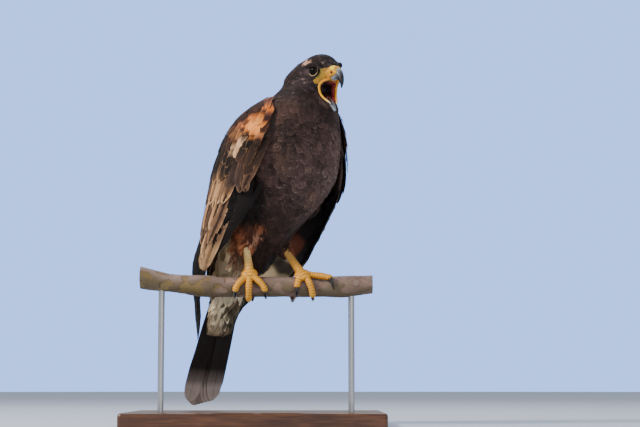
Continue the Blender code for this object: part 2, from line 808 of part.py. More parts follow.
def wing_vanes(side):
    """Return the flight feathers and coverts of one folded wing."""
    def surface(height, angle, lift):
        point = cloak_point(height, angle, lift)
        return Vector((point.x, side * point.y, point.z))

    meshes = []
    for tier in WING_TIERS:
        count, cycle, root_a, root_b, tip_a, tip_b, width, lifts = tier[1:]
        for index in range(count):
            share = index / (count - 1)
            root = between(root_a, root_b, share)
            tip = between(tip_a, tip_b, share)
            layers = [lift + VANE_STEP * (index % cycle) for lift in lifts]

            def way(part, root=root, tip=tip):
                height, across = between(root, tip, part)
                return height, wing_angle(side, height, across)

            meshes.append(vane(surface, way, width, layers))
    return meshes


def wing_mesh(side):
    """Return the folded wing as one smooth shell over the body."""
    rows, columns = 7, 5
    outer, inner = [], []
    low, high = WING_SHELL_LOW, WING_EDGES[-1][0]
    for row in range(rows):
        height = low + (high - low) * row / (rows - 1)
        end = math.sin(math.pi * min(max((height - low) / 90.0, 0.0), 1.0) / 2)
        top, under = [], []
        for column in range(columns):
            share = column / (columns - 1)
            inset = WING_SHELL_INSET + (1.0 - 2 * WING_SHELL_INSET) * share
            angle = wing_angle(side, height, inset)
            swell = math.sin(math.pi * share) ** 0.5
            shell = (1.2 + WING_SHELL * (0.25 + 0.75 * end) * swell) * MM
            point = cloak_point(height, angle, WING_SHELL_SINK)
            top.append(Vector((point.x, side * point.y, point.z)))
            point = cloak_point(height, angle, WING_SHELL_SINK - shell)
            under.append(Vector((point.x, side * point.y, point.z)))
        outer.append(top)
        inner.append(under)
    return sheet("wing", outer, inner)


def build_wings(bird, rooms):
    """Make both folded wings."""
    wings = []
    for name, side in (("right", -1), ("left", 1)):
        wing = solid(f"wing_{name}", wing_mesh(side), bird, "wing")
        join_all(wing, wing_vanes(side), bird)
        for room in rooms:
            combine(wing, "DIFFERENCE", room)
        wings.append(wing)
    return wings


def tail_frame():
    """Return the tail's own axes: along it, to the left, and out of its back."""
    along = (TAIL_TIP - TAIL_ROOT).normalized()
    left = Vector((0, 1, 0)) - along * along.y
    left.normalize()
    back = left.cross(along)
    return along, left, back


def tail_feathers():
    """Return the tail feathers as a folded fan, the middle pair uppermost."""
    along, left, back = tail_frame()
    length = (TAIL_TIP - TAIL_ROOT).length
    meshes = []
    for pair in range(TAIL_PAIRS):
        for side in (-1, 1):
            layer = pair + (0.5 if side > 0 else 0.0)
            reach = length - TAIL_STEP * pair
            aside = side * (0.8 * MM + TAIL_HALF_SPREAD * pair / (TAIL_PAIRS - 1))
            outer, inner = [], []
            for row in range(4):
                share = row / 3
                spread = aside * (0.35 + 0.65 * share)
                half = TAIL_FEATHER_WIDTH / 2 * smooth_at(TAIL_OUTLINE, share)[0]
                top, under = [], []
                for edge in (-1, 0, 1):
                    point = TAIL_ROOT + along * reach * share + left * (spread + half * edge)
                    drop = TAIL_LAYER * layer + abs(edge) * 0.8 * MM
                    top.append(point - back * drop)
                    under.append(point - back * (drop + TAIL_THICKNESS))
                outer.append(top)
                inner.append(under)
            meshes.append(sheet("tail_feather", outer, inner))
    return meshes


def rump_point(height, angle, lift):
    """Return the point of the rump's surface at a height and an angle."""
    x, y, depth, width = smooth_at(RUMP, height)
    along, across = bulge(math.radians(angle), 2.1)
    out = Vector((along * (depth * MM + lift), across * (width * MM + lift), 0.0))
    return Vector((x, y, height)) * MM + out


def rump_vanes():
    """Return the coverts above and below the root of the tail."""
    meshes = []
    for tier in RUMP_TIERS:
        count, angles, heights, width, lifts = tier[1:]
        for index in range(count):
            angle = angles[0] + (angles[1] - angles[0]) * index / (count - 1)
            layers = [lift + VANE_STEP * (index % 2) for lift in lifts]

            def way(part, angle=angle):
                return heights[0] + (heights[1] - heights[0]) * part, angle

            meshes.append(vane(rump_point, way, width, layers))
    return meshes


RUMP = (
    (-58.0, -115.0, -10.0, 5.0, 20.0),
    (-30.0, -104.0, -10.0, 12.0, 24.0),
    (0.0, -93.0, -9.0, 19.0, 28.0),
    (24.0, -84.0, -8.0, 25.0, 31.0),
    (48.0, -74.0, -7.0, 28.0, 34.0),
    (70.0, -62.0, -5.0, 28.0, 34.0),
    (84.0, -54.0, -4.0, 20.0, 26.0),
)


def build_tail(bird, rooms):
    """Make the rump with the tail's feathers."""
    rump = level_loft("rump", RUMP, 7, 2.1, 12)
    tail = solid("tail", rump, bird, "tail")
    join_all(tail, tail_feathers() + rump_vanes(), bird)
    for room in rooms:
        combine(tail, "DIFFERENCE", room)
    return tail


def thigh_rings(name, grow=0.0):
    """Return the slices of a feathered thigh, from the belly down past the ankle."""
    side = -1 if name == "right" else 1
    ankle = ANKLE_PLACE[name]
    foot = FOOT_PLACE[name]
    low = ankle.lerp(foot + Vector((0, 0, 18.0 * MM)), 0.62)
    path = [
        Vector((4.0, side * 38.0, 152.0)) * MM,
        Vector((-2.0, side * 43.0, 127.0)) * MM,
        Vector((-6.0, side * 46.0, 104.0)) * MM,
        ankle.lerp(Vector((-6.0, side * 46.0, 104.0)) * MM, 0.45),
        ankle + Vector((6.0, 0.0, -8.0)) * MM,
        low + Vector((-3.0, 0.0, 0.0)) * MM,
    ]
    sizes = [(8.0, 5.0), (24.0, 15.0), (30.0, 21.0), (31.0, 22.0), (23.0, 18.0), (11.0, 10.0)]
    rings = []
    for share in [step / 8 for step in range(9)]:
        centre = Vector(smooth_at([(i / 5, *p) for i, p in enumerate(path)], share))
        depth, width = smooth_at([(i / 5, *s) for i, s in enumerate(sizes)], share)
        ring = []
        for step in range(18):
            along, across = bulge(2 * math.pi * step / 18, 2.0)
            flat = Vector((along * (depth * MM + grow), across * (width * MM + grow), 0.0))
            ring.append(centre + flat)
        rings.append(ring)
    return rings


def build_thigh(name, bird, torso_room):
    """Make a thigh with its feather trousers."""
    thigh = solid(f"thigh_{name}", loft("thigh", thigh_rings(name)), bird, "thigh")
    combine(thigh, "DIFFERENCE", torso_room)
    room = loft("thigh_room", thigh_rings(name, GAP * 1.3))
    return thigh, cutter(f"thigh_room_{name}", room, bird)


def on_branch(place_x, angle, radius):
    """Return a point over the branch at an angle from its top, in the stand's frame."""
    turn = math.radians(angle)
    height = PERCH_HEIGHT + radius * math.cos(turn)
    return Vector((place_x, PERCH_SET_BACK - radius * math.sin(turn), height))


def toe_line(foot_x, plan, radius):
    """Return the middle line of a toe laid round the branch, and its claw's line."""
    start, end, first, last, claw = plan
    ring = PERCH_RADIUS * 1.01 + radius + GAP
    points = []
    for step in range(8):
        share = step / 7
        place = foot_x + (start + (end - start) * math.sin(share * math.pi / 2)) * MM
        points.append(on_branch(place, first + (last - first) * share, ring))
    way = (points[-1] - points[-2]).normalized()
    axis = Vector((1, 0, 0)) if last > 0 else Vector((-1, 0, 0))
    claw_points = [points[-1] - way * 2.0 * MM]
    bend = math.radians(76.0)
    for step in range(6):
        claw_points.append(claw_points[-1] + way * (claw + 2.0) / 6 * MM)
        way = Matrix.Rotation(bend / 6, 3, axis) @ way
    return points, claw_points


def build_foot(name, stand, bird, torso, thigh, perch_room):
    """Make one leg below its feathers: tarsus, toes round the branch, and claws."""
    place = bird.matrix_world @ FOOT_PLACE[name]
    ankle = bird.matrix_world @ ANKLE_PLACE[name]
    top = on_branch(place.x, FOOT_TURN[name], PERCH_RADIUS + 6.0 * MM)
    line = [top, top.lerp(ankle, 0.3), top.lerp(ankle, 0.65), ankle]
    radii = [6.4 * MM, TARSUS_RADIUS, TARSUS_RADIUS * 0.92, TARSUS_RADIUS * 1.2]
    foot = solid(f"foot_{name}", tube("tarsus", line, radii), stand, "leg")
    lean = Matrix.Rotation(math.radians(FOOT_TURN[name]), 4, "X")
    pad_shape = Matrix.Translation(top) @ lean @ Matrix.Diagonal((1.15, 1.0, 0.7, 1.0))
    forms = [sphere("pad", 9.5 * MM, pad_shape, 14, 8)]
    claws = {}
    for toe, plan in TOES[name].items():
        points, claw_line = toe_line(place.x, plan, TOE_RADIUS)
        root = top.lerp(points[0], 0.2)
        size = 1.1 if toe == "hind" else 1.0
        radii = [TOE_RADIUS * size * (1.0 - 0.018 * step + 0.05 * math.cos(step * 2.1))
                 for step in range(len(points) + 1)]
        radii[-1] *= 0.82
        forms.append(tube("toe", [root] + points, radii))
        share = [1.0, 1.0, 0.88, 0.72, 0.54, 0.33, 0.1]
        claws[toe] = (claw_line, [CLAW_RADIUS * size * part for part in share])
    join_all(foot, forms, stand)
    combine(foot, "DIFFERENCE", perch_room)
    for toe, (claw_line, radii) in claws.items():
        claw = tube("claw", claw_line, radii, resolution=1)
        solid(f"claw_{name}_{toe}", claw, stand, "claw")
        grown = [radius + 1.2 * GAP for radius in radii]
        way = (claw_line[1] - claw_line[0]).normalized() * GAP
        claw_room = tube("claw_room", [claw_line[0] - way] + claw_line[1:4], grown[:4], 1)
        combine(foot, "DIFFERENCE", cutter(f"claw_room_{name}_{toe}", claw_room, stand))
    bpy.context.view_layer.update()
    leg_line = [top, top.lerp(ankle, 0.3), top.lerp(ankle, 0.65), ankle + (ankle - top) * 0.006]
    leg_room = tube("leg_room", leg_line, [6.9 * MM] + [r + 0.5 * MM for r in (
        TARSUS_RADIUS, TARSUS_RADIUS * 0.92, TARSUS_RADIUS * 1.2)])
    leg_room = cutter(f"leg_room_{name}", leg_room, stand)
    combine(thigh, "DIFFERENCE", leg_room)
    combine(torso, "DIFFERENCE", leg_room)
    return foot


def main():
    """Build the model."""
    clear_scene()
    stand = frame_empty("stand_frame", None, Vector((0, 0, 0)))
    place = Vector((BIRD_SHIFT, PERCH_SET_BACK, PERCH_HEIGHT))
    bird = frame_empty("bird_frame", stand, place, (0, 0, BODY_YAW))
    head_frame = frame_empty("head_frame", bird, HEAD_PLACE, (0, HEAD_PITCH, HEAD_YAW))
    bpy.context.view_layer.update()
    perch_room = build_stand(stand)
    torso, neck, torso_room, neck_room = build_body(bird)
    build_head(head_frame, neck, torso_room)
    build_wings(bird, (torso_room, neck_room, perch_room))
    thigh_rooms = []
    for name in ("right", "left"):
        thigh, thigh_room = build_thigh(name, bird, torso_room)
        thigh_rooms.append(thigh_room)
        build_foot(name, stand, bird, torso, thigh, perch_room)
    build_tail(bird, (torso_room, perch_room, *thigh_rooms))


main()
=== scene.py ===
"""Looks of a life-size display model of a harris hawk calling from a cut branch.

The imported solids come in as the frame. One skin stands for the solids of flesh, and
tiers of mesh feathers, the bill, eyes, lids, feet, claws and bark are made over it.
The stand keeps its solids and gets wood and steel finishes.
"""
import logging
import math
from dataclasses import dataclass, field
from enum import Enum
from typing import Callable, Sequence

import bmesh
import bpy
import numpy as np
from mathutils import Matrix, Vector, noise
from mathutils.bvhtree import BVHTree


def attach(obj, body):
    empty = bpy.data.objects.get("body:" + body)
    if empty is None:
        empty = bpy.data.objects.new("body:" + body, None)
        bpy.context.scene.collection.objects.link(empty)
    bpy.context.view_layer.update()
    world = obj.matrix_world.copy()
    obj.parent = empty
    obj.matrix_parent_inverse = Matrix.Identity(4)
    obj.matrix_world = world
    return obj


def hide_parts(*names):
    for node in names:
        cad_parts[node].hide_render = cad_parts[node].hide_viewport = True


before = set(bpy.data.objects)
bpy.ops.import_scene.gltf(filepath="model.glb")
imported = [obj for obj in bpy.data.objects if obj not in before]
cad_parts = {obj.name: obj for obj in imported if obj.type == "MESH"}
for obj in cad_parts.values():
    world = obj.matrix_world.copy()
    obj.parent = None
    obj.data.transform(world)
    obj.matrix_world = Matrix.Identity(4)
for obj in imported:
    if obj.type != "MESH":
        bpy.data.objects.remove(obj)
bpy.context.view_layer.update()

LOG = logging.getLogger("hawk")
MM = 0.001
ROOT = "root"
Array = np.ndarray
Rows = Sequence[Sequence[float]]


# Places shared with the solids, in millimetres

BIRD_PLACE = (27.5, -12.0, 178.0)
BODY_YAW = -50.0
HEAD_PLACE = (75.0, 12.0, 267.0)
HEAD_YAW = -5.0
HEAD_PITCH = -3.0
PERCH_HEIGHT = 178.0
PERCH_LENGTH = 300.0
PERCH_RADIUS = 13.5
PERCH_SET_BACK = -12.0
EYE_PLACE = (8.7, 16.6, 2.3)
EYE_RADIUS = 7.9
EYE_FACING = 68.0


class Side(Enum):
    """Side of the bird, with the sign of its Y axis."""

    RIGHT = -1
    LEFT = 1


def linear(code: str) -> Array:
    """Turn an sRGB hex colour into linear red, green and blue.

    Args:
        code: Six hex digits after a hash.

    Returns:
        Three linear values.
    """
    parts = np.array([int(code[i:i + 2], 16) / 255 for i in (1, 3, 5)])
    return np.where(parts <= 0.04045, parts / 12.92, ((parts + 0.055) / 1.055) ** 2.4)


def ramp(values: Array, low: float, high: float) -> Array:
    """Rise smoothly from 0 at low to 1 at high.

    Args:
        values: Numbers to read.
        low: Where the rise starts.
        high: Where it ends, which may be below low for a fall.

    Returns:
        Numbers from 0 to 1.
    """
    part = np.clip((np.asarray(values, float) - low) / (high - low), 0.0, 1.0)
    return part * part * (3 - 2 * part)


def unit(vectors: Array) -> Array:
    """Return vectors at length one."""
    return vectors / np.maximum(np.linalg.norm(vectors, axis=-1, keepdims=True), 1e-9)


class Profile:
    """A smooth curve through table rows, read at values of their first column."""

    def __init__(self, rows: Rows) -> None:
        """Keep the rows and their slopes."""
        table = np.array(rows, float)
        self.keys, self.values = table[:, 0], table[:, 1:]
        after = np.minimum(np.arange(len(table)) + 1, len(table) - 1)
        before = np.maximum(np.arange(len(table)) - 1, 0)
        rise = self.values[after] - self.values[before]
        self.slopes = rise / (self.keys[after] - self.keys[before])[:, None]

    def at(self, keys: Array) -> Array:
        """Read the curve.

        Args:
            keys: Values of the first column, in any shape.

        Returns:
            The other columns, on a last axis of their own.
        """
        keys = np.clip(np.asarray(keys, float), self.keys[0], self.keys[-1])
        index = np.clip(np.searchsorted(self.keys, keys, "right") - 1, 0, len(self.keys) - 2)
        span = (self.keys[index + 1] - self.keys[index])[..., None]
        part = (keys - self.keys[index])[..., None] / span
        square, cube = part ** 2, part ** 3
        return ((2 * cube - 3 * square + 1) * self.values[index]
                + (cube - 2 * square + part) * self.slopes[index] * span
                + (3 * square - 2 * cube) * self.values[index + 1]
                + (cube - square) * self.slopes[index + 1] * span)


class Place:
    """A local frame in millimetres and the way from it to the model's metres."""

    def __init__(self, matrix: Matrix) -> None:
        """Keep the matrix, which works in millimetres."""
        self.matrix = np.array(matrix)
        self.inverse = np.linalg.inv(self.matrix)

    def out(self, points: Array) -> Array:
        """Take points from the local frame to the model, in metres."""
        points = np.asarray(points, float)
        return (points @ self.matrix[:3, :3].T + self.matrix[:3, 3]) * MM

    def back(self, points: Array) -> Array:
        """Take points of the model, in metres, to the local frame."""
        points = np.asarray(points, float) / MM
        return points @ self.inverse[:3, :3].T + self.inverse[:3, 3]

    def turn(self, vectors: Array) -> Array:
        """Take directions from the local frame to the model."""
        return np.asarray(vectors, float) @ self.matrix[:3, :3].T


def frame_matrix(place: Sequence[float], pitch: float, yaw: float) -> Matrix:
    """Return the matrix of a frame from its place in millimetres and turns in degrees."""
    turn = Matrix.Rotation(math.radians(yaw), 4, "Z") @ Matrix.Rotation(math.radians(pitch), 4, "Y")
    return Matrix.Translation(place) @ turn


BIRD = Place(frame_matrix(BIRD_PLACE, 0.0, BODY_YAW))
HEAD = Place(Matrix(BIRD.matrix.tolist()) @ frame_matrix(HEAD_PLACE, HEAD_PITCH, HEAD_YAW))
WORLD = Place(Matrix.Identity(4))


def bulge(angle: Array, power: float) -> tuple[Array, Array]:
    """Return the unit superellipse point at an angle in radians."""
    cos, sin = np.cos(angle), np.sin(angle)
    reach = (np.abs(cos) ** power + np.abs(sin) ** power) ** (-1.0 / power)
    return cos * reach, sin * reach


# Materials

def node(tree: bpy.types.NodeTree, kind: str, settings: dict | None = None,
         links: dict | None = None) -> bpy.types.Node:
    """Add a node with its settings and its inputs.

    Args:
        tree: Node tree that gets it.
        kind: Type name without the ShaderNode in front.
        settings: Attribute names with values.
        links: Input names or numbers with a socket to link or a value to set.

    Returns:
        The node.
    """
    made = tree.nodes.new("ShaderNode" + kind)
    for name, value in (settings or {}).items():
        setattr(made, name, value)
    for name, value in (links or {}).items():
        if isinstance(value, bpy.types.NodeSocket):
            tree.links.new(value, made.inputs[name])
        else:
            made.inputs[name].default_value = value
    return made


def colour4(code: str) -> tuple[float, ...]:
    """Return a hex colour as linear red, green, blue and an alpha of one."""
    return (*linear(code), 1.0)


def ramp_node(tree: bpy.types.NodeTree, factor: bpy.types.NodeSocket,
              stops: Sequence[tuple[float, str]]) -> bpy.types.NodeSocket:
    """Add a colour ramp.

    Args:
        tree: Node tree that gets it.
        factor: Socket that it reads.
        stops: Places from 0 to 1 with hex colours.

    Returns:
        Its colour socket.
    """
    made = node(tree, "ValToRGB", links={"Fac": factor})
    elements = made.color_ramp.elements
    while len(elements) < len(stops):
        elements.new(0.5)
    for element, (place, code) in zip(elements, stops):
        element.position = place
        element.color = colour4(code)
    return made.outputs["Color"]


def attribute(tree: bpy.types.NodeTree, name: str) -> bpy.types.Node:
    """Add a node that reads an attribute of the mesh."""
    return node(tree, "Attribute", {"attribute_name": name})


def maths(tree: bpy.types.NodeTree, what: str, *values: object) -> bpy.types.NodeSocket:
    """Add a Math node and return its value."""
    made = node(tree, "Math", {"operation": what}, dict(enumerate(values)))
    return made.outputs[0]


def blend(tree: bpy.types.NodeTree, factor: object, first: object, second: object,
          how: str = "MIX") -> bpy.types.NodeSocket:
    """Add a colour mix and return its colour."""
    made = node(tree, "Mix", {"data_type": "RGBA", "blend_type": how},
                {0: factor, 6: first, 7: second})
    return made.outputs[2]


@dataclass(frozen=True)
class Finish:
    """A surface finish: how it shines, with its pattern added by a subclass."""

    name: str
    roughness: float = 0.5
    specular: float = 0.5
    sheen: float = 0.0
    coat: float = 0.0
    metallic: float = 0.0
    subsurface: float = 0.0

    def pattern(self, tree: bpy.types.NodeTree, shader: bpy.types.Node) -> None:
        """Add the colour, roughness and relief of the surface."""

    def make(self) -> bpy.types.Material:
        """Build the material.

        Returns:
            The finished material.
        """
        material = bpy.data.materials.new(self.name)
        material.use_nodes = True
        tree = material.node_tree
        shader = tree.nodes["Principled BSDF"]
        shader.inputs["Roughness"].default_value = self.roughness
        shader.inputs["Specular IOR Level"].default_value = self.specular
        shader.inputs["Sheen Weight"].default_value = self.sheen
        shader.inputs["Sheen Roughness"].default_value = 0.4
        shader.inputs["Coat Weight"].default_value = self.coat
        shader.inputs["Coat Roughness"].default_value = 0.08
        shader.inputs["Metallic"].default_value = self.metallic
        shader.inputs["Subsurface Weight"].default_value = self.subsurface
        shader.inputs["Subsurface Radius"].default_value = (0.004, 0.002, 0.001)
        self.pattern(tree, shader)
        return material


def bump(tree: bpy.types.NodeTree, shader: bpy.types.Node, height: bpy.types.NodeSocket,
         depth: float, strength: float = 1.0) -> None:
    """Give the shader relief of a depth in metres."""
    made = node(tree, "Bump", links={"Height": height, "Distance": depth, "Strength": strength})
    tree.links.new(made.outputs["Normal"], shader.inputs["Normal"])


@dataclass(frozen=True)
class FeatherFinish(Finish):
    """Feather keratin: matt vanes of fine barbs beside a smooth shaft.

    Real barbs lie 0.3 mm apart, which this picture can't show, so they are drawn in
    locks about 0.9 mm apart, as barbs cling together.
    """

    lock_spacing: float = 0.9

    def pattern(self, tree: bpy.types.NodeTree, shader: bpy.types.Node) -> None:
        """Colour the vane from its own attributes, with a fringe, barbs and shaft."""
        vane = attribute(tree, "vane")
        parts = node(tree, "SeparateXYZ", links={0: vane.outputs["Vector"]})
        across, along, chance = parts.outputs[0], parts.outputs[1], parts.outputs[2]
        size = attribute(tree, "length").outputs["Fac"]
        wide = maths(tree, "ABSOLUTE", across)
        place = node(tree, "TexCoord").outputs["Object"]
        rough = node(tree, "TexNoise", links={"Vector": place, "Scale": 260.0, "Detail": 2.0})
        stray = maths(tree, "MULTIPLY_ADD", rough.outputs["Fac"], 0.5, -0.25)
        tip = maths(tree, "MULTIPLY_ADD", along, 3.4, -2.4)
        margin = maths(tree, "ADD", maths(tree, "SMOOTH_MAX", wide, tip, 0.2), stray)
        inner = attribute(tree, "tint").outputs["Color"]
        rim = attribute(tree, "rim")
        width = rim.outputs["Alpha"]
        start = maths(tree, "SUBTRACT", 1.02, width)
        share = maths(tree, "DIVIDE", maths(tree, "SUBTRACT", margin, start),
                      maths(tree, "MULTIPLY_ADD", width, 0.95, 0.03))
        fringe = node(tree, "Clamp", links={0: share}).outputs[0]
        broken = node(tree, "TexNoise", links={"Vector": place, "Scale": 95.0, "Detail": 3.0})
        hold = maths(tree, "MULTIPLY_ADD", broken.outputs["Fac"], 1.6, -0.25)
        hold = maths(tree, "MULTIPLY", hold, maths(tree, "MULTIPLY_ADD", chance, 0.5, 0.7))
        hold = node(tree, "Clamp", links={0: hold}).outputs[0]
        fringe = maths(tree, "MULTIPLY", fringe, hold)
        colour = blend(tree, fringe, inner, rim.outputs["Color"])
        blade = node(tree, "MapRange", {"interpolation_type": "SMOOTHSTEP"},
                     {0: maths(tree, "ADD", wide, stray), 1: 0.52, 2: 0.14}).outputs[0]
        blade = maths(tree, "MULTIPLY", blade, attribute(tree, "streak").outputs["Fac"])
        colour = blend(tree, blade, colour, colour4("#17100d"))
        slant = maths(tree, "MULTIPLY_ADD", wide, -0.22, along)
        line = maths(tree, "MULTIPLY", maths(tree, "MULTIPLY", slant, size), 6.28 / self.lock_spacing)
        wave = maths(tree, "SINE", maths(tree, "MULTIPLY_ADD", rough.outputs["Fac"], 5.0, line))
        tone = maths(tree, "MULTIPLY_ADD", wave, 0.10, 1.0)
        tone = maths(tree, "MULTIPLY", tone, maths(tree, "MULTIPLY_ADD", chance, 0.34, 0.83))
        shaft = node(tree, "MapRange", {"interpolation_type": "SMOOTHSTEP"},
                     {0: wide, 1: 0.03, 2: 0.09, 3: 0.72, 4: 1.0}).outputs[0]
        tone = maths(tree, "MULTIPLY", tone, shaft)
        mottle = node(tree, "TexNoise", links={"Vector": place, "Scale": 45.0, "Detail": 3.0})
        tone = maths(tree, "MULTIPLY", tone,
                     maths(tree, "MULTIPLY_ADD", mottle.outputs["Fac"], 0.5, 0.75))
        grey = node(tree, "CombineXYZ", links={0: tone, 1: tone, 2: tone}).outputs[0]
        colour = blend(tree, 1.0, colour, grey, "MULTIPLY")
        tree.links.new(colour, shader.inputs["Base Color"])
        bump(tree, shader, wave, 0.00012, 0.6)


@dataclass(frozen=True)
class SkinFinish(Finish):
    """Living skin: satin, finely creased, coloured from the mesh's own attribute.

    The creases are 0.8 mm apart, as on a bird's bare face.
    """

    crease: float = 0.8

    def pattern(self, tree: bpy.types.NodeTree, shader: bpy.types.Node) -> None:
        """Mottle the attribute's colour and crease the surface."""
        place = node(tree, "TexCoord").outputs["Object"]
        tint = attribute(tree, "tint").outputs["Color"]
        cell = node(tree, "TexVoronoi", {"feature": "DISTANCE_TO_EDGE"},
                    {"Vector": place, "Scale": 1000 / self.crease})
        edge = node(tree, "MapRange", {"interpolation_type": "SMOOTHSTEP"},
                    {0: cell.outputs["Distance"], 1: 0.0, 2: 0.16}).outputs[0]
        cloud = node(tree, "TexNoise", links={"Vector": place, "Scale": 180.0, "Detail": 4.0})
        tone = maths(tree, "MULTIPLY_ADD", edge, 0.12,
                     maths(tree, "MULTIPLY_ADD", cloud.outputs["Fac"], 0.3, 0.74))
        grey = node(tree, "CombineXYZ", links={0: tone, 1: tone, 2: tone}).outputs[0]
        colour = blend(tree, 1.0, tint, grey, "MULTIPLY")
        tree.links.new(colour, shader.inputs["Base Color"])
        bump(tree, shader, edge, 0.00015, 0.5)


@dataclass(frozen=True)
class HornFinish(Finish):
    """Horn: smooth grown keratin with faint growth lines, coloured along its length."""

    stops: tuple[tuple[float, str], ...] = ()

    def pattern(self, tree: bpy.types.NodeTree, shader: bpy.types.Node) -> None:
        """Run the colours along the horn and add growth lines 1.2 mm apart."""
        along = attribute(tree, "along").outputs["Fac"]
        place = node(tree, "TexCoord").outputs["Object"]
        cloud = node(tree, "TexNoise", links={"Vector": place, "Scale": 240.0, "Detail": 3.0})
        shifted = maths(tree, "MULTIPLY_ADD", cloud.outputs["Fac"], 0.16,
                        maths(tree, "SUBTRACT", along, 0.08))
        colour = ramp_node(tree, shifted, self.stops)
        tree.links.new(colour, shader.inputs["Base Color"])
        lines = maths(tree, "SINE", maths(tree, "MULTIPLY_ADD", cloud.outputs["Fac"], 4.0,
                                           maths(tree, "MULTIPLY", along, 120.0)))
        bump(tree, shader, lines, 0.00004, 0.4)


@dataclass(frozen=True)
class EyeFinish(Finish):
    """Eyeball under a wet cornea: black pupil in a dark brown iris with fine rays."""

    def pattern(self, tree: bpy.types.NodeTree, shader: bpy.types.Node) -> None:
        """Ring the colours round the line of sight."""
        ring = attribute(tree, "along").outputs["Fac"]
        around = attribute(tree, "around").outputs["Fac"]
        rays = node(tree, "TexNoise", {"noise_dimensions": "1D"},
                    {"W": maths(tree, "MULTIPLY", around, 40.0), "Scale": 1.0, "Detail": 2.0})
        shifted = maths(tree, "MULTIPLY_ADD", rays.outputs["Fac"], 0.05,
                        maths(tree, "SUBTRACT", ring, 0.025))
        colour = ramp_node(tree, shifted, ((0.0, "#030202"), (0.17, "#040202"),
                                           (0.19, "#22120b"), (0.27, "#170c08"),
                                           (0.32, "#060303"), (1.0, "#0d0806")))
        tree.links.new(colour, shader.inputs["Base Color"])


@dataclass(frozen=True)
class BarkFinish(Finish):
    """Smooth gum bark: grey-brown, flaking off in plates that bare olive and pink wood."""

    def pattern(self, tree: bpy.types.NodeTree, shader: bpy.types.Node) -> None:
        """Lay plates, stains and fine fissures over each other."""
        place = node(tree, "TexCoord").outputs["Object"]
        long = node(tree, "Mapping", links={"Vector": place, "Scale": (0.45, 1.0, 1.0)}).outputs[0]
        peel = attribute(tree, "peel").outputs["Fac"]
        stain = node(tree, "TexNoise", links={"Vector": long, "Scale": 15.0, "Detail": 6.0})
        plain = ramp_node(tree, stain.outputs["Fac"], (
            (0.30, "#574641"), (0.44, "#74635d"), (0.55, "#8d7b75"), (0.68, "#6b6050")))
        spot = node(tree, "TexNoise", links={"Vector": long, "Scale": 24.0, "Detail": 6.0})
        bare = ramp_node(tree, spot.outputs["Fac"], (
            (0.32, "#6d584e"), (0.46, "#877064"), (0.56, "#9a8275"), (0.70, "#b3a092")))
        ochre = ramp_node(tree, spot.outputs["Fac"], (
            (0.32, "#4d4325"), (0.46, "#6c5c32"), (0.56, "#7d6a3f"), (0.70, "#8a784f")))
        bare = blend(tree, attribute(tree, "ochre").outputs["Fac"], bare, ochre)
        under = attribute(tree, "under").outputs["Fac"]
        plain = blend(tree, maths(tree, "MULTIPLY", under, 0.75), plain, colour4("#5a5030"))
        colour = blend(tree, maths(tree, "MULTIPLY", peel, 0.7), plain, bare)
        edge = attribute(tree, "flake").outputs["Fac"]
        colour = blend(tree, edge, colour, colour4("#4a2e22"))
        fine = node(tree, "TexNoise", links={"Vector": long, "Scale": 420.0, "Detail": 4.0})
        tone = maths(tree, "MULTIPLY_ADD", fine.outputs["Fac"], 0.5, 0.75)
        grey = node(tree, "CombineXYZ", links={0: tone, 1: tone, 2: tone}).outputs[0]
        colour = blend(tree, 1.0, colour, grey, "MULTIPLY")
        tree.links.new(colour, shader.inputs["Base Color"])
        bump(tree, shader, fine.outputs["Fac"], 0.0005, 0.5)


@dataclass(frozen=True)
class CutWoodFinish(Finish):
    """Sawn branch end: pale wood with growth rings about 1.4 mm apart."""

    def pattern(self, tree: bpy.types.NodeTree, shader: bpy.types.Node) -> None:
        """Ring the end from the distance to its heart."""
        place = node(tree, "TexCoord").outputs["Object"]
        cloud = node(tree, "TexNoise", links={"Vector": place, "Scale": 120.0, "Detail": 3.0})
        reach = attribute(tree, "reach").outputs["Fac"]
        turn = maths(tree, "MULTIPLY_ADD", cloud.outputs["Fac"], 5.0,
                     maths(tree, "MULTIPLY", reach, 6.28 / 0.0014))
        rings = maths(tree, "MULTIPLY_ADD", maths(tree, "SINE", turn), 0.5, 0.5)
        colour = ramp_node(tree, rings, ((0.1, "#b08a5f"), (0.6, "#d2b085"), (0.95, "#94703f")))
        tree.links.new(colour, shader.inputs["Base Color"])
        bump(tree, shader, rings, 0.0001, 0.4)


@dataclass(frozen=True)
class WoodFinish(Finish):
    """Stained walnut under satin varnish, with grain 3 mm wide along the base."""

    def pattern(self, tree: bpy.types.NodeTree, shader: bpy.types.Node) -> None:
        """Stretch the grain along X."""
        place = node(tree, "TexCoord").outputs["Object"]
        long = node(tree, "Mapping", links={"Vector": place, "Scale": (0.08, 1.0, 1.0)}).outputs[0]
        grain = node(tree, "TexNoise", links={"Vector": long, "Scale": 330.0, "Detail": 6.0,
                                              "Distortion": 0.4})
        broad = node(tree, "TexNoise", links={"Vector": long, "Scale": 60.0, "Detail": 3.0})
        both = maths(tree, "MULTIPLY_ADD", grain.outputs["Fac"], 0.5,
                     maths(tree, "MULTIPLY", broad.outputs["Fac"], 0.5))
        colour = ramp_node(tree, both, ((0.34, "#24140c"), (0.5, "#4a2c1a"), (0.66, "#6a4429")))
        tree.links.new(colour, shader.inputs["Base Color"])
        bump(tree, shader, grain.outputs["Fac"], 0.0001, 0.3)


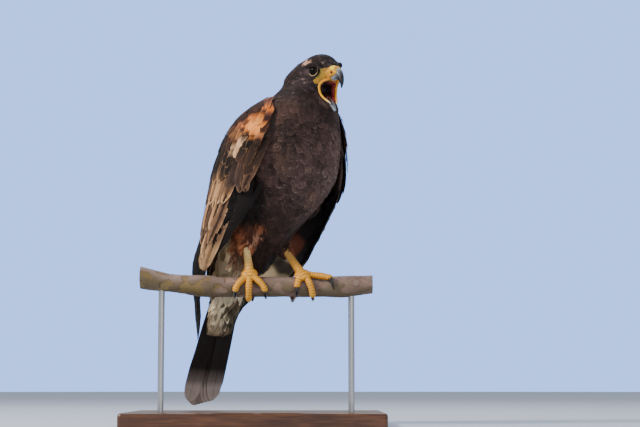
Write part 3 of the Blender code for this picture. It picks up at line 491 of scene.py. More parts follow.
@dataclass(frozen=True)
class SteelFinish(Finish):
    """Steel rod, brushed round, with fine bands 0.6 mm apart."""

    def pattern(self, tree: bpy.types.NodeTree, shader: bpy.types.Node) -> None:
        """Band the roughness along the rod."""
        place = node(tree, "TexCoord").outputs["Object"]
        flat = node(tree, "Mapping", links={"Vector": place, "Scale": (0.1, 0.1, 1.0)}).outputs[0]
        band = node(tree, "TexNoise", links={"Vector": flat, "Scale": 1700.0, "Detail": 2.0})
        shader.inputs["Base Color"].default_value = colour4("#b7b9bc")
        tree.links.new(maths(tree, "MULTIPLY_ADD", band.outputs["Fac"], 0.25, 0.16),
                       shader.inputs["Roughness"])


@dataclass(frozen=True)
class FloorFinish(Finish):
    """Plain pale matt floor."""

    def pattern(self, tree: bpy.types.NodeTree, shader: bpy.types.Node) -> None:
        """Give one pale colour."""
        shader.inputs["Base Color"].default_value = colour4("#c9d6ea")


# Meshes

def finished(name: str, mesh: bpy.types.Mesh, finishes: Sequence[bpy.types.Material],
             replaces: Sequence[str] = ()) -> bpy.types.Object:
    """Put a mesh in the scene as a piece that rides on the model.

    Args:
        name: Name of the piece.
        mesh: Its mesh, in place.
        finishes: Its materials.
        replaces: Solids that it stands for.

    Returns:
        The piece.
    """
    piece = bpy.data.objects.new(name, mesh)
    bpy.context.scene.collection.objects.link(piece)
    mesh.materials.clear()
    for material in finishes:
        mesh.materials.append(material)
    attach(piece, ROOT)
    if replaces:
        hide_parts(*replaces)
    mesh.calc_loop_triangles()
    LOG.info("%s: %d triangles", name, len(mesh.loop_triangles))
    return piece


def put(mesh: bpy.types.Mesh, name: str, kind: str, values: Array) -> None:
    """Store one value a vertex as an attribute.

    Args:
        mesh: Mesh that gets it.
        name: Attribute name.
        kind: FLOAT, FLOAT_VECTOR or FLOAT_COLOR.
        values: One row a vertex.
    """
    key = {"FLOAT": "value", "FLOAT_VECTOR": "vector", "FLOAT_COLOR": "color"}[kind]
    made = mesh.attributes.new(name, kind, "POINT")
    made.data.foreach_set(key, np.ascontiguousarray(values, np.float32).ravel())


def read_points(mesh: bpy.types.Mesh) -> Array:
    """Return a mesh's vertices, one row each."""
    points = np.empty(len(mesh.vertices) * 3, np.float32)
    mesh.vertices.foreach_get("co", points)
    return points.reshape(-1, 3).astype(float)


def read_normals(mesh: bpy.types.Mesh) -> Array:
    """Return a mesh's vertex normals, one row each."""
    normals = np.empty(len(mesh.vertices) * 3, np.float32)
    mesh.vertex_normals.foreach_get("vector", normals)
    return normals.reshape(-1, 3).astype(float)


def mesh_of(bm: bmesh.types.BMesh, name: str, smooth: float = 40.0) -> bpy.types.Mesh:
    """Turn a bmesh into a mesh with smooth shading below an edge angle in degrees."""
    bmesh.ops.recalc_face_normals(bm, faces=bm.faces)
    mesh = bpy.data.meshes.new(name)
    bm.to_mesh(mesh)
    bm.free()
    mesh.shade_smooth()
    mesh.set_sharp_from_angle(angle=math.radians(smooth))
    return mesh


def skinned(rings: Sequence[Array], closed: bool = True) -> bmesh.types.BMesh:
    """Extrude a circle through rings of points.

    Args:
        rings: Rings with the same number of points, in metres.
        closed: Whether the two ends are filled.

    Returns:
        The mesh, with its vertices in the rings' order.
    """
    bm = bmesh.new()
    count = len(rings[0])
    row = list(bmesh.ops.create_circle(bm, cap_ends=False, segments=count, radius=1.0)["verts"])
    ends = [row]
    for vert, point in zip(row, rings[0]):
        vert.co = point
    for ring in rings[1:]:
        edges = [bm.edges.get((a, b)) for a, b in zip(row, row[1:] + row[:1])]
        made = bmesh.ops.extrude_edge_only(bm, edges=edges)["geom"]
        fresh = {item for item in made if isinstance(item, bmesh.types.BMVert)}
        after = []
        for vert, point in zip(row, ring):
            beside = next(edge.other_vert(vert) for edge in vert.link_edges
                          if edge.other_vert(vert) in fresh)
            beside.co = point
            after.append(beside)
        row = after
    ends.append(row)
    if closed:
        for end in ends:
            bmesh.ops.contextual_create(bm, geom=end)
    return bm


def fused(name: str, forms: Sequence[bmesh.types.BMesh], voxel: float, rounds: int) -> bpy.types.Mesh:
    """Join closed forms into one smooth skin.

    Args:
        name: Name of the mesh.
        forms: The forms, which are used up.
        voxel: Size of the grid that joins them, in millimetres.
        rounds: Smoothing steps.

    Returns:
        The joined mesh.
    """
    whole = bmesh.new()
    for form in forms:
        bmesh.ops.recalc_face_normals(form, faces=form.faces)
        part = bpy.data.meshes.new("form")
        form.to_mesh(part)
        form.free()
        whole.from_mesh(part)
        bpy.data.meshes.remove(part)
    mesh = bpy.data.meshes.new(name)
    whole.to_mesh(mesh)
    whole.free()
    piece = bpy.data.objects.new(name, mesh)
    bpy.context.scene.collection.objects.link(piece)
    remesh = piece.modifiers.new("voxels", "REMESH")
    remesh.mode = "VOXEL"
    remesh.voxel_size = voxel * MM
    smooth = piece.modifiers.new("smooth", "SMOOTH")
    smooth.factor = 0.5
    smooth.iterations = rounds
    return applied(piece)


def applied(piece: bpy.types.Object) -> bpy.types.Mesh:
    """Return the mesh of a piece with its modifiers applied, and remove the piece."""
    graph = bpy.context.evaluated_depsgraph_get()
    mesh = bpy.data.meshes.new_from_object(piece.evaluated_get(graph))
    old = piece.data
    bpy.data.objects.remove(piece)
    bpy.data.meshes.remove(old)
    return mesh


def tube_rings(points: Array, radii: Array, sides: int, up: Array | None = None,
               flat: float = 1.0) -> list[Array]:
    """Return rings round a line.

    Args:
        points: Middle line.
        radii: Radius at each point.
        sides: Points a ring.
        up: Direction that the ring's first axis keeps to.
        flat: Share of the radius along that axis.

    Returns:
        One array of points a ring.
    """
    way = unit(np.gradient(points, axis=0))
    across = np.cross(way, up if up is not None else np.array([0.21, 0.34, 0.91]))
    across = unit(across)
    high = np.cross(across, way)
    turn = np.linspace(0, 2 * math.pi, sides, endpoint=False)
    return [point + radius * (np.cos(turn)[:, None] * a + flat * np.sin(turn)[:, None] * h)
            for point, radius, a, h in zip(points, radii, across, high)]


def smooth_line(rows: Rows, count: int) -> Array:
    """Read evenly spaced places on a smooth curve through rows."""
    keyed = Profile([(index, *row) for index, row in enumerate(rows)])
    return keyed.at(np.linspace(0, len(rows) - 1, count))


# Feathers

@dataclass(frozen=True)
class Cut:
    """Outline of a feather: shares of its length with shares of its width."""

    shares: tuple[float, ...]
    widths: tuple[float, ...]


CONTOUR = Cut((0.0, 0.25, 0.5, 0.72, 0.88, 0.97, 1.0), (0.34, 0.74, 0.97, 1.0, 0.80, 0.46, 0.14))
LANCE = Cut((0.0, 0.25, 0.5, 0.75, 0.92, 1.0), (0.45, 0.85, 1.0, 0.82, 0.42, 0.08))
FLIGHT = Cut((0.0, 0.1, 0.25, 0.42, 0.6, 0.76, 0.87, 0.94, 0.985, 1.0),
             (0.3, 0.7, 0.9, 1.0, 1.0, 0.97, 0.86, 0.66, 0.36, 0.12))


@dataclass
class Vanes:
    """A batch of feathers of one outline, as grids of points with their colours.

    Attributes:
        top: Feathers, rows, columns, XYZ of the upper face, in metres.
        under: Feathers, rows, XYZ of the middle of the lower face.
        tint: Colour of the vane, a row each or a feather each.
        rim: Colour of its fringe and the fringe's share of the width.
        length: Length in millimetres.
        patch: Place of the root on the unwrapped skin.
        shares: Shares of the length at which the rows stand.
        streak: Strength of the dark blade along the shaft, as tint is given.
    """

    top: Array
    under: Array
    tint: Array
    rim: Array
    length: Array
    patch: Array
    shares: Array
    streak: Array | None = None


PATCH_SIZE = 0.003


class Coat:
    """A piece made of many feathers, joined into one mesh."""

    def __init__(self, name: str, seed: int) -> None:
        """Start an empty coat."""
        self.name = name
        self.batches: list[Vanes] = []
        self.random = np.random.default_rng(seed)

    def add(self, batch: Vanes) -> None:
        """Add a batch of feathers."""
        if len(batch.top):
            self.batches.append(batch)

    def make(self, material: bpy.types.Material, slot: str,
             replaces: Sequence[str] = ()) -> bpy.types.Object:
        """Join the batches into one piece.

        Args:
            material: Feather material.
            slot: Not used.
            replaces: Solids that it stands for.

        Returns:
            The piece.
        """
        points, quads, caps, cap_sizes = [], [], [], []
        vane, tint, rim, length, patch, streak = [], [], [], [], [], []
        start = 0
        for batch in self.batches:
            count, rows, columns, _ = batch.top.shape
            around = columns + 1
            grid = np.concatenate([batch.top, batch.under[:, :, None, :]], axis=2)
            points.append(grid.reshape(-1, 3))
            across = np.append(np.linspace(-1, 1, columns), 0.0)
            data = np.empty((count, rows, around, 3))
            data[..., 0] = across
            data[..., 1] = batch.shares[:, None]
            data[..., 2] = self.random.random(count)[:, None, None]
            vane.append(data.reshape(-1, 3))
            blade = np.zeros((count, 1)) if batch.streak is None else batch.streak[..., None]
            for store, values in ((tint, batch.tint), (rim, batch.rim), (streak, blade)):
                if values.ndim == 2:
                    values = np.repeat(values[:, None, :], rows, axis=1)
                wide = np.repeat(values[:, :, None, :], around, axis=2)
                store.append(wide.reshape(-1, wide.shape[-1]))
            length.append(np.repeat(batch.length, rows * around))
            spread = np.stack([data[..., 0] * 0.5, data[..., 1] - 0.5], axis=-1) * PATCH_SIZE
            patch.append((batch.patch[:, None, None, :] + spread).reshape(-1, 2))
            first = start + np.arange(count)[:, None, None] * rows * around
            row = np.arange(rows - 1)[None, :, None] * around
            here = np.arange(around)[None, None, :]
            beside = (here + 1) % around
            quad = np.stack([first + row + here, first + row + around + here,
                             first + row + around + beside, first + row + beside], axis=-1)
            quads.append(quad.reshape(-1, 4))
            base = start + np.arange(count)[:, None] * rows * around
            ring = np.arange(around)[None, :]
            caps += [base + ring, (base + (rows - 1) * around + ring)[:, ::-1]]
            cap_sizes += [around, around]
            start += count * rows * around
        mesh = bpy.data.meshes.new(self.name)
        verts = np.concatenate(points)
        corner_parts = [np.concatenate(quads).ravel()] + [cap.ravel() for cap in caps]
        sizes = np.concatenate([np.full(sum(len(q) for q in quads), 4)]
                               + [np.full(len(cap), size) for cap, size in zip(caps, cap_sizes)])
        corners = np.concatenate(corner_parts)
        mesh.vertices.add(len(verts))
        mesh.vertices.foreach_set("co", verts.astype(np.float32).ravel())
        mesh.loops.add(len(corners))
        mesh.loops.foreach_set("vertex_index", corners.astype(np.int32))
        mesh.polygons.add(len(sizes))
        starts = np.concatenate([[0], np.cumsum(sizes)[:-1]])
        mesh.polygons.foreach_set("loop_start", starts.astype(np.int32))
        mesh.update(calc_edges=True)
        put(mesh, "vane", "FLOAT_VECTOR", np.concatenate(vane))
        colour = np.concatenate(tint)
        put(mesh, "tint", "FLOAT_COLOR", np.column_stack([colour, np.ones(len(colour))]))
        put(mesh, "rim", "FLOAT_COLOR", np.concatenate(rim))
        put(mesh, "length", "FLOAT", np.concatenate(length))
        put(mesh, "streak", "FLOAT", np.concatenate(streak))
        layer = mesh.uv_layers.new(name="OFBake")
        layer.data.foreach_set("uv", np.concatenate(patch)[corners].astype(np.float32).ravel())
        mesh.shade_smooth()
        mesh.set_sharp_from_angle(angle=math.radians(62.0))
        return finished(self.name, mesh, [material], replaces)


# Skin

def in_outline(x: Array, z: Array, outline: Rows) -> Array:
    """Tell which points lie inside a flat outline.

    Args:
        x: First coordinates.
        z: Second coordinates.
        outline: Corners in order.

    Returns:
        One truth value a point.
    """
    inside = np.zeros(np.shape(x), bool)
    for (ax, az), (bx, bz) in zip(outline, [*outline[1:], outline[0]]):
        crosses = (az > z) != (bz > z)
        span = bz - az if bz != az else 1e-9
        inside ^= crosses & (x < (bx - ax) * (z - az) / span + ax)
    return inside


BARE_FACE = ((14.5, 3.6), (19, 3.8), (29, 4.6), (30, -9), (22, -14), (15, -15.5), (8.5, -13.5),
             (7.5, -9.5), (12, -6.5), (14.8, -2), (15.6, 1.5))


@dataclass
class Body:
    """The hawk's one skin, from crown to rump and down both thighs, with wing cores."""

    voxel: float = 1.9
    torso: Rows = ((20, -54, 0, 14, 11), (27, -53, 0, 23, 18), (50, -43, 0, 36, 25),
                   (87, -21, 0, 55, 43), (113, -6, 0, 67, 60), (139, 4, 0, 74, 71),
                   (165, 12, 0, 72, 73), (191, 20, 0, 64, 71), (213, 32, 0, 55, 63),
                   (230, 43, 2, 46, 53))
    neck: Rows = ((222, 38, 0, 50, 58), (230, 43, 2, 46, 53), (242, 44.5, 5, 37.5, 42),
                  (255, 46.5, 8, 30.5, 33), (267, 47, 9, 29, 30), (276, 50, 10, 24, 25),
                  (286, 54, 11, 17, 18))
    rump: Rows = ((-58, -115, -10, 5, 20), (-30, -104, -10, 12, 24), (0, -93, -9, 19, 28),
                  (24, -84, -8, 25, 31), (48, -74, -7, 28, 34), (70, -62, -5, 28, 34),
                  (84, -54, -4, 20, 26))
    skull: Rows = ((-46, -6, 9, 9), (-41, -5, 18, 18), (-29, -3, 25.5, 26), (-10, -0.8, 27.5, 28.8),
                   (2, 0.8, 25.5, 28), (10, 2, 21.5, 24.6), (17, 2.2, 16.5, 19.2), (22, 1.4, 12, 13.8),
                   (27.5, 3.6, 6.5, 5.2))
    jaw: Rows = ((-14, -16, 20, 16), (-4, -22.5, 18.5, 15.5), (6, -30, 16, 13.5),
                 (13, -37.5, 12.5, 10), (19, -45, 8.5, 5.5))
    mouth: Rows = ((1, -20, 6, 3.5), (7, -21, 10, 6.5), (11, -22, 13, 8.5), (14, -23.5, 18, 11),
                   (20, -26.5, 20, 14.5), (28, -30.5, 22, 18.5), (48, -38, 24, 26))
    brows: Rows = ((-3, 22.4, 9.8), (4, 23.9, 10.4), (11, 22.0, 9.8), (18.5, 15.6, 7.4))
    thigh_sizes: Rows = ((8, 5), (24, 15), (30, 21), (31, 22), (23, 18), (11, 10))
    ankles: dict[Side, Rows] = field(default_factory=lambda: {
        Side.RIGHT: ((-34, -31, 86), (-23, -27.6, 0)), Side.LEFT: ((-33, 15.4, 76), (20.7, 24.7, 0))})

    def level(self, rows: Rows, rings: int, sides: int, power: float, shrink: float
              ) -> bmesh.types.BMesh:
        """Loft level slices.

        Args:
            rows: Height, middle X and Y, depth and width of each slice.
            rings: Number of slices made.
            sides: Points a slice.
            power: Squareness of a slice.
            shrink: Depth taken off all round, in millimetres.

        Returns:
            The closed form in the model's frame.
        """
        table = Profile(rows)
        heights = np.linspace(table.keys[0], table.keys[-1], rings)
        along, across = bulge(np.linspace(0, 2 * math.pi, sides, endpoint=False), power)
        made = []
        for height, (x, y, depth, width) in zip(heights, table.at(heights)):
            ring = np.column_stack([x + along * max(depth - shrink, 2.0),
                                    y + across * max(width - shrink, 2.0),
                                    np.full(sides, height)])
            made.append(BIRD.out(ring))
        return skinned(made)

    def facing(self, rows: Rows, rings: int, sides: int, power: float, shrink: float
               ) -> bmesh.types.BMesh:
        """Loft slices that stand across the head, as level() does for the body."""
        table = Profile(rows)
        places = np.linspace(table.keys[0], table.keys[-1], rings)
        across, up = bulge(np.linspace(0, 2 * math.pi, sides, endpoint=False), power)
        made = []
        for place, (middle, width, height) in zip(places, table.at(places)):
            ring = np.column_stack([np.full(sides, place), across * (width - shrink),
                                    middle + up * (height - shrink)])
            made.append(HEAD.out(ring))
        return skinned(made)

    def thigh(self, side: Side, shrink: float) -> bmesh.types.BMesh:
        """Loft a thigh from the flank to just below the ankle."""
        ankle, foot = (np.array(row, float) for row in self.ankles[side])
        knee = np.array((-6.0, 46.0 * side.value, 104.0))
        low = ankle + (foot + (0, 0, 18) - ankle) * 0.62
        path = [(4, side.value * 38, 152), (-2, side.value * 43, 127), knee,
                ankle + (knee - ankle) * 0.45, ankle + (6, 0, -8), low + (-3, 0, 0)]
        line = smooth_line(path, 24)
        sizes = smooth_line(self.thigh_sizes, 24)
        along, across = bulge(np.linspace(0, 2 * math.pi, 36, endpoint=False), 2.0)
        rings = []
        for centre, (depth, width) in zip(line, sizes):
            flat = np.column_stack([along * max(depth - shrink, 2.0),
                                    across * max(width - shrink, 2.0), np.zeros(36)])
            rings.append(BIRD.out(centre + flat))
        return skinned(rings)

    def brow(self, side: Side) -> bmesh.types.BMesh:
        """Make the ledge of bone over an eye."""
        raised, back = (5.2, 3.0) if side is Side.LEFT else (-0.8, 0.0)
        line = smooth_line([(x - back, side.value * y, z + raised) for x, y, z in self.brows], 24)
        thick = 1.3 if side is Side.LEFT else 0.0
        radii = smooth_line(((1.0,), (2.6,), (2.6,), (1.2,)), 24)[:, 0] + thick
        return skinned([HEAD.out(ring) for ring in tube_rings(line, radii, 20)])

    def build(self, wings: Sequence["Wing"]) -> bpy.types.Object:
        """Join all forms of flesh and smooth them into one skin.

        Args:
            wings: The folded wings, whose cores are part of the skin.

        Returns:
            The skin.
        """
        forms = [self.level(self.torso, 40, 64, 2.1, 2.6), self.level(self.neck, 20, 48, 2.1, 2.2),
                 self.level(self.rump, 30, 40, 2.1, 2.6), self.facing(self.skull, 40, 56, 2.2, 0.9),
                 self.facing(self.jaw, 24, 40, 2.2, 0.9)]
        forms += [self.thigh(side, 2.8) for side in Side]
        forms += [self.brow(side) for side in Side]
        forms += [wing.core() for wing in wings]
        mesh = fused("body_skin", forms, self.voxel, 6)
        mesh = self.carved(mesh)
        self.colour(mesh)
        mesh.shade_smooth()
        return finished("body_skin", mesh, [SkinFinish("bird_skin", 0.55, 0.4).make()],
                        ("torso", "neck", "head", "thigh_right", "thigh_left"))

    def carved(self, mesh: bpy.types.Mesh) -> bpy.types.Mesh:
        """Refine the face, then cut the open mouth and the sockets out of it.

        Args:
            mesh: The smooth skin.

        Returns:
            The skin with its openings.
        """
        bm = bmesh.new()
        bm.from_mesh(mesh)
        local = {vert: HEAD.back(np.array(vert.co)) for vert in bm.verts
                 if vert.co.z > 0.405}
        near = {vert for vert, place in local.items() if place[0] > 0.0}
        edges = [edge for edge in bm.edges if edge.verts[0] in near and edge.verts[1] in near]
        bmesh.ops.subdivide_edges(bm, edges=edges, cuts=1, use_grid_fill=True)
        bmesh.ops.triangulate(bm, faces=[face for face in bm.faces if len(face.verts) > 4])
        refined = bpy.data.meshes.new("refined")
        bm.to_mesh(refined)
        bm.free()
        piece = bpy.data.objects.new("refined", refined)
        bpy.context.scene.collection.objects.link(piece)
        cutters = [self.facing(self.mouth, 40, 48, 2.4, 0.0)]
        for side in Side:
            ball = bmesh.new()
            bmesh.ops.create_uvsphere(ball, u_segments=48, v_segments=24,
                                      radius=(EYE_RADIUS + 0.15) * MM)
            bmesh.ops.transform(ball, matrix=metres(eye_matrix(side)), verts=ball.verts)
            cutters.append(ball)
        tools = []
        for index, cutter in enumerate(cutters):
            bmesh.ops.recalc_face_normals(cutter, faces=cutter.faces)
            shape = bpy.data.meshes.new("cutter")
            cutter.to_mesh(shape)
            cutter.free()
            tool = bpy.data.objects.new("cutter", shape)
            bpy.context.scene.collection.objects.link(tool)
            cut = piece.modifiers.new(f"cut_{index}", "BOOLEAN")
            cut.operation = "DIFFERENCE"
            cut.solver = "MANIFOLD"
            cut.object = tool
            tools.append(tool)
        result = applied(piece)
        for tool in tools:
            shape = tool.data
            bpy.data.objects.remove(tool)
            bpy.data.meshes.remove(shape)
        return result

    def colour(self, mesh: bpy.types.Mesh) -> None:
        """Tint the skin as its feathers are, and bare parts in their own colours, with painted shade inside the
        mouth, round the eyes and beside the wings.
        """
        points = read_points(mesh)
        tint = plumage(BIRD.back(points), HEAD.back(points))[0] * 0.6
        x, y, z = HEAD.back(points).T
        head = ramp(z, -60, -50) * (np.abs(x) < 40)
        bare = in_outline(x, z, BARE_FACE) & (head > 0.5)
        near = ramp(np.hypot(x - EYE_PLACE[0], z - EYE_PLACE[2]), 12.5, 8.5)
        fleck = clouds(HEAD.back(points), 2.4, 4.0)
        yellow = np.repeat(linear("#ad8310")[None], len(points), axis=0)
        yellow = shade(yellow, "#6f4f10", ramp(fleck, 0.0, 0.6) * 0.7)
        yellow = shade(yellow, "#5a5a10", near * 0.9)
        tint = np.where(bare[:, None], yellow, tint)
        mouth = Profile(self.mouth).at(x)
        reach = (np.abs(y) / mouth[:, 1]) ** 2.4 + (np.abs(z - mouth[:, 0]) / mouth[:, 2]) ** 2.4
        inside = (reach < 1.12) & (x > 2.5) & (z < -6) & (z > -62)
        # Inside the mouth the red flesh shows towards the front on the bird's left; elsewhere it is painted shade,
        # near black.
        unshaded_flesh = (ramp(x, 9, 19) * ramp(y, -8, 6))[:, None]
        flesh = linear("#241213")[None] * (1 - unshaded_flesh) + linear("#a8443c")[None] * unshaded_flesh
        tint = np.where(inside[:, None], flesh, tint)
        # Painted shade: the skin close round each eyeball is near black.
        socket = np.zeros(len(points), bool)
        for side in Side:
            far = np.linalg.norm(HEAD.back(points) - (EYE_PLACE[0], side.value * EYE_PLACE[1],
                                                       EYE_PLACE[2]), axis=1)
            socket |= far < EYE_RADIUS + 0.5
        tint = np.where(socket[:, None], linear("#1a1210")[None], tint)
        put(mesh, "tint", "FLOAT_COLOR", np.column_stack([tint, np.ones(len(tint))]))


def metres(matrix: Matrix) -> Matrix:
    """Return a millimetre matrix of the head's frame as one of the model, in metres."""
    whole = Matrix(HEAD.matrix.tolist()) @ matrix
    whole.translation *= MM
    return whole


def eye_matrix(side: Side, forward: float = 0.0) -> Matrix:
    """Return an eye's own frame in the head's, with Z along its line of sight.

    Args:
        side: Side of the head.
        forward: Shift along the line of sight, in millimetres.

    Returns:
        The matrix, in millimetres.
    """
    place = Matrix.Translation((EYE_PLACE[0], side.value * EYE_PLACE[1], EYE_PLACE[2]))
    turn = Matrix.Rotation(math.radians(side.value * EYE_FACING), 4, "Z")
    return place @ turn @ Matrix.Rotation(math.radians(90), 4, "Y") @ Matrix.Translation((0, 0, forward))


class Hide:
    """A finished skin that feathers are laid on."""

    def __init__(self, piece: bpy.types.Object) -> None:
        """Index the skin's faces."""
        mesh = piece.data
        self.points = read_points(mesh)
        self.normals = read_normals(mesh)
        faces = [tuple(face.vertices) for face in mesh.polygons]
        self.tree = BVHTree.FromPolygons([tuple(p) for p in self.points], faces)
        self.face_normals = np.array([self.normals[list(face)].mean(0) for face in faces])
        mesh.calc_loop_triangles()
        corners = np.empty(len(mesh.loop_triangles) * 3, np.int32)
        mesh.loop_triangles.foreach_get("vertices", corners)
        self.triangles = corners.reshape(-1, 3)

    def sample(self, random: np.random.Generator, per_mm: float, low: float = 0.0) -> Array:
        """Scatter random points evenly over the skin.

        Args:
            random: Seeded source.
            per_mm: Points a square millimetre.
            low: Height above which they lie, in metres.

        Returns:
            The points, in metres.
        """
        a, b, c = (self.points[self.triangles[:, i]] for i in range(3))
        area = np.linalg.norm(np.cross(b - a, c - a), axis=1) / 2
        area = np.where(a[:, 2] > low, area, 0.0)
        count = int(area.sum() * 1e6 * per_mm)
        pick = random.choice(len(area), count, p=area / area.sum())
        u, v = random.random((2, count))
        fold = u + v > 1
        u, v = np.where(fold, 1 - u, u), np.where(fold, 1 - v, v)
        return a[pick] + (b - a)[pick] * u[:, None] + (c - a)[pick] * v[:, None]

    def nearest(self, points: Array) -> tuple[Array, Array]:
        """Return the nearest points of the skin and the smooth normals there."""
        found = [self.tree.find_nearest(point) for point in points.tolist()]
        places = np.array([item[0] for item in found])
        index = np.array([item[2] for item in found])
        return places, unit(self.face_normals[index])


def spread_out(points: Array, spacing: Array) -> Array:
    """Keep points that stand at least their spacing apart.

    Args:
        points: Candidates in random order, in millimetres.
        spacing: Least distance for each, in millimetres.

    Returns:
        The numbers of those kept.
    """
    sizes = [1.6, 3.2, 6.4, 12.8]
    grids: list[dict] = [{} for _ in sizes]
    kept: list[int] = []
    rows = points.tolist()
    for index, (x, y, z) in enumerate(rows):
        reach = float(spacing[index])
        clear = True
        for size, grid in zip(sizes, grids):
            if not grid:
                continue
            span = int(math.ceil(reach / size))
            cx, cy, cz = int(x // size), int(y // size), int(z // size)
            for i in range(cx - span, cx + span + 1):
                for j in range(cy - span, cy + span + 1):
                    for k in range(cz - span, cz + span + 1):
                        for other in grid.get((i, j, k), ()):
                            ox, oy, oz = rows[other]
                            if (ox - x) ** 2 + (oy - y) ** 2 + (oz - z) ** 2 < reach * reach:
                                clear = False
                                break
                        if not clear:
                            break
                    if not clear:
                        break
                if not clear:
                    break
            if not clear:
                break
        if clear:
            level = min(range(len(sizes)), key=lambda n: abs(sizes[n] - reach))
            cell = (int(x // sizes[level]), int(y // sizes[level]), int(z // sizes[level]))
            grids[level].setdefault(cell, []).append(index)
            kept.append(index)
    return np.array(kept, int)


# Plumage markings

def shade(base: Array, colour: str, weight: Array) -> Array:
    """Blend a colour over others by a weight each."""
    return base + (linear(colour)[None] - base) * np.asarray(weight)[:, None]


def spot(places: Array, centre: Sequence[float], size: float, soft: float = 0.5) -> Array:
    """Return 1 near a centre, falling to 0 at its size."""
    far = np.linalg.norm(places - np.array(centre, float), axis=1)
    return ramp(far, size, size * (1 - soft))


def clouds(places: Array, size: float, seed: float = 0.0) -> Array:
    """Return soft noise from about -1 to 1 at places in millimetres, with blots of a size."""
    rows = (places / size + seed).tolist()
    return np.array([noise.noise(Vector(row)) for row in rows]) * 1.8


@dataclass(frozen=True)
class Mark:
    """A patch of colour on the plumage, placed in the picture's pixels.

    Attributes:
        x: Middle across.
        y: Middle down.
        wide: Half width.
        high: Half height.
        lean: Turn in degrees, clockwise.
        tint: Colour of the vanes.
        rim: Colour of their fringes.
        fringe: Share of the width that the fringe takes.
        streak: Strength of the dark blade along the shaft.
        share: Share of the feathers that take the patch.
    """

    x: float
    y: float
    wide: float
    high: float
    lean: float
    tint: str
    rim: str
    fringe: float = 0.25
    streak: float = 0.0
    share: float = 1.0

    def far(self, seen: Array) -> Array:
        """Return how far places in the picture lie from the middle, the rim being 1."""
        turn = math.radians(self.lean)
        across, down = (seen - (self.x, self.y)).T
        return np.hypot((across * math.cos(turn) + down * math.sin(turn)) / self.wide,
                        (down * math.cos(turn) - across * math.sin(turn)) / self.high)


BODY_MARKS = (
    Mark(312, 158, 22, 40, 6, "#59453e", "#b8a298", share=0.5),
    Mark(322, 196, 13, 24, 10, "#60463a", "#b89a86", share=0.6),
    Mark(288, 128, 14, 22, 0, "#342826", "#6b5750", share=0.5),
    Mark(255, 194, 11, 34, 10, "#201815", "#3e2f29", share=0.8),
    Mark(240, 241, 10, 15, 0, "#a9603a", "#d59a6e", share=0.9),
    Mark(240, 241, 6, 9, 10, "#cf8a58", "#efbe92", share=0.8),
    Mark(250.5, 234, 2.2, 11, 4, "#4a2a1e", "#7a4a34", share=0.9),
    Mark(257.5, 234, 4.2, 10, 8, "#b98565", "#deb293", share=0.9),
    Mark(268, 240, 5, 20, 0, "#2c1d18", "#4a362e", share=0.9),
    Mark(238, 262, 6, 6, 0, "#6b4a30", "#a07c58", share=0.8),
    # Painted shade: a near-black patch in the gap between the wing and the thigh.
    Mark(225, 238, 8, 11, 20, "#15100e", "#2a1f1a"),
    Mark(263, 271, 12, 5, -6, "#e6d6ba", "#fff2da"))
FAR_MARKS = (
    Mark(277, 258, 9, 11, 0, "#2b1e19", "#49362d", share=0.9),
    Mark(306, 256, 17, 16, -20, "#151110", "#241d1a"),
    Mark(296, 245, 8, 11, 15, "#a4583c", "#c98a68", share=0.85),
    Mark(285, 268, 12, 9, 0, "#221a16", "#40332b", share=0.9),
    Mark(213, 316, 9, 28, -8, "#8a7862", "#d3c5ae", share=0.75),
    # Painted shadow: the dark patch on the vent below the branch stands for the shadow of the branch and legs.
    Mark(235, 316, 9, 26, 8, "#2a211c", "#5a4b3f", share=0.9))


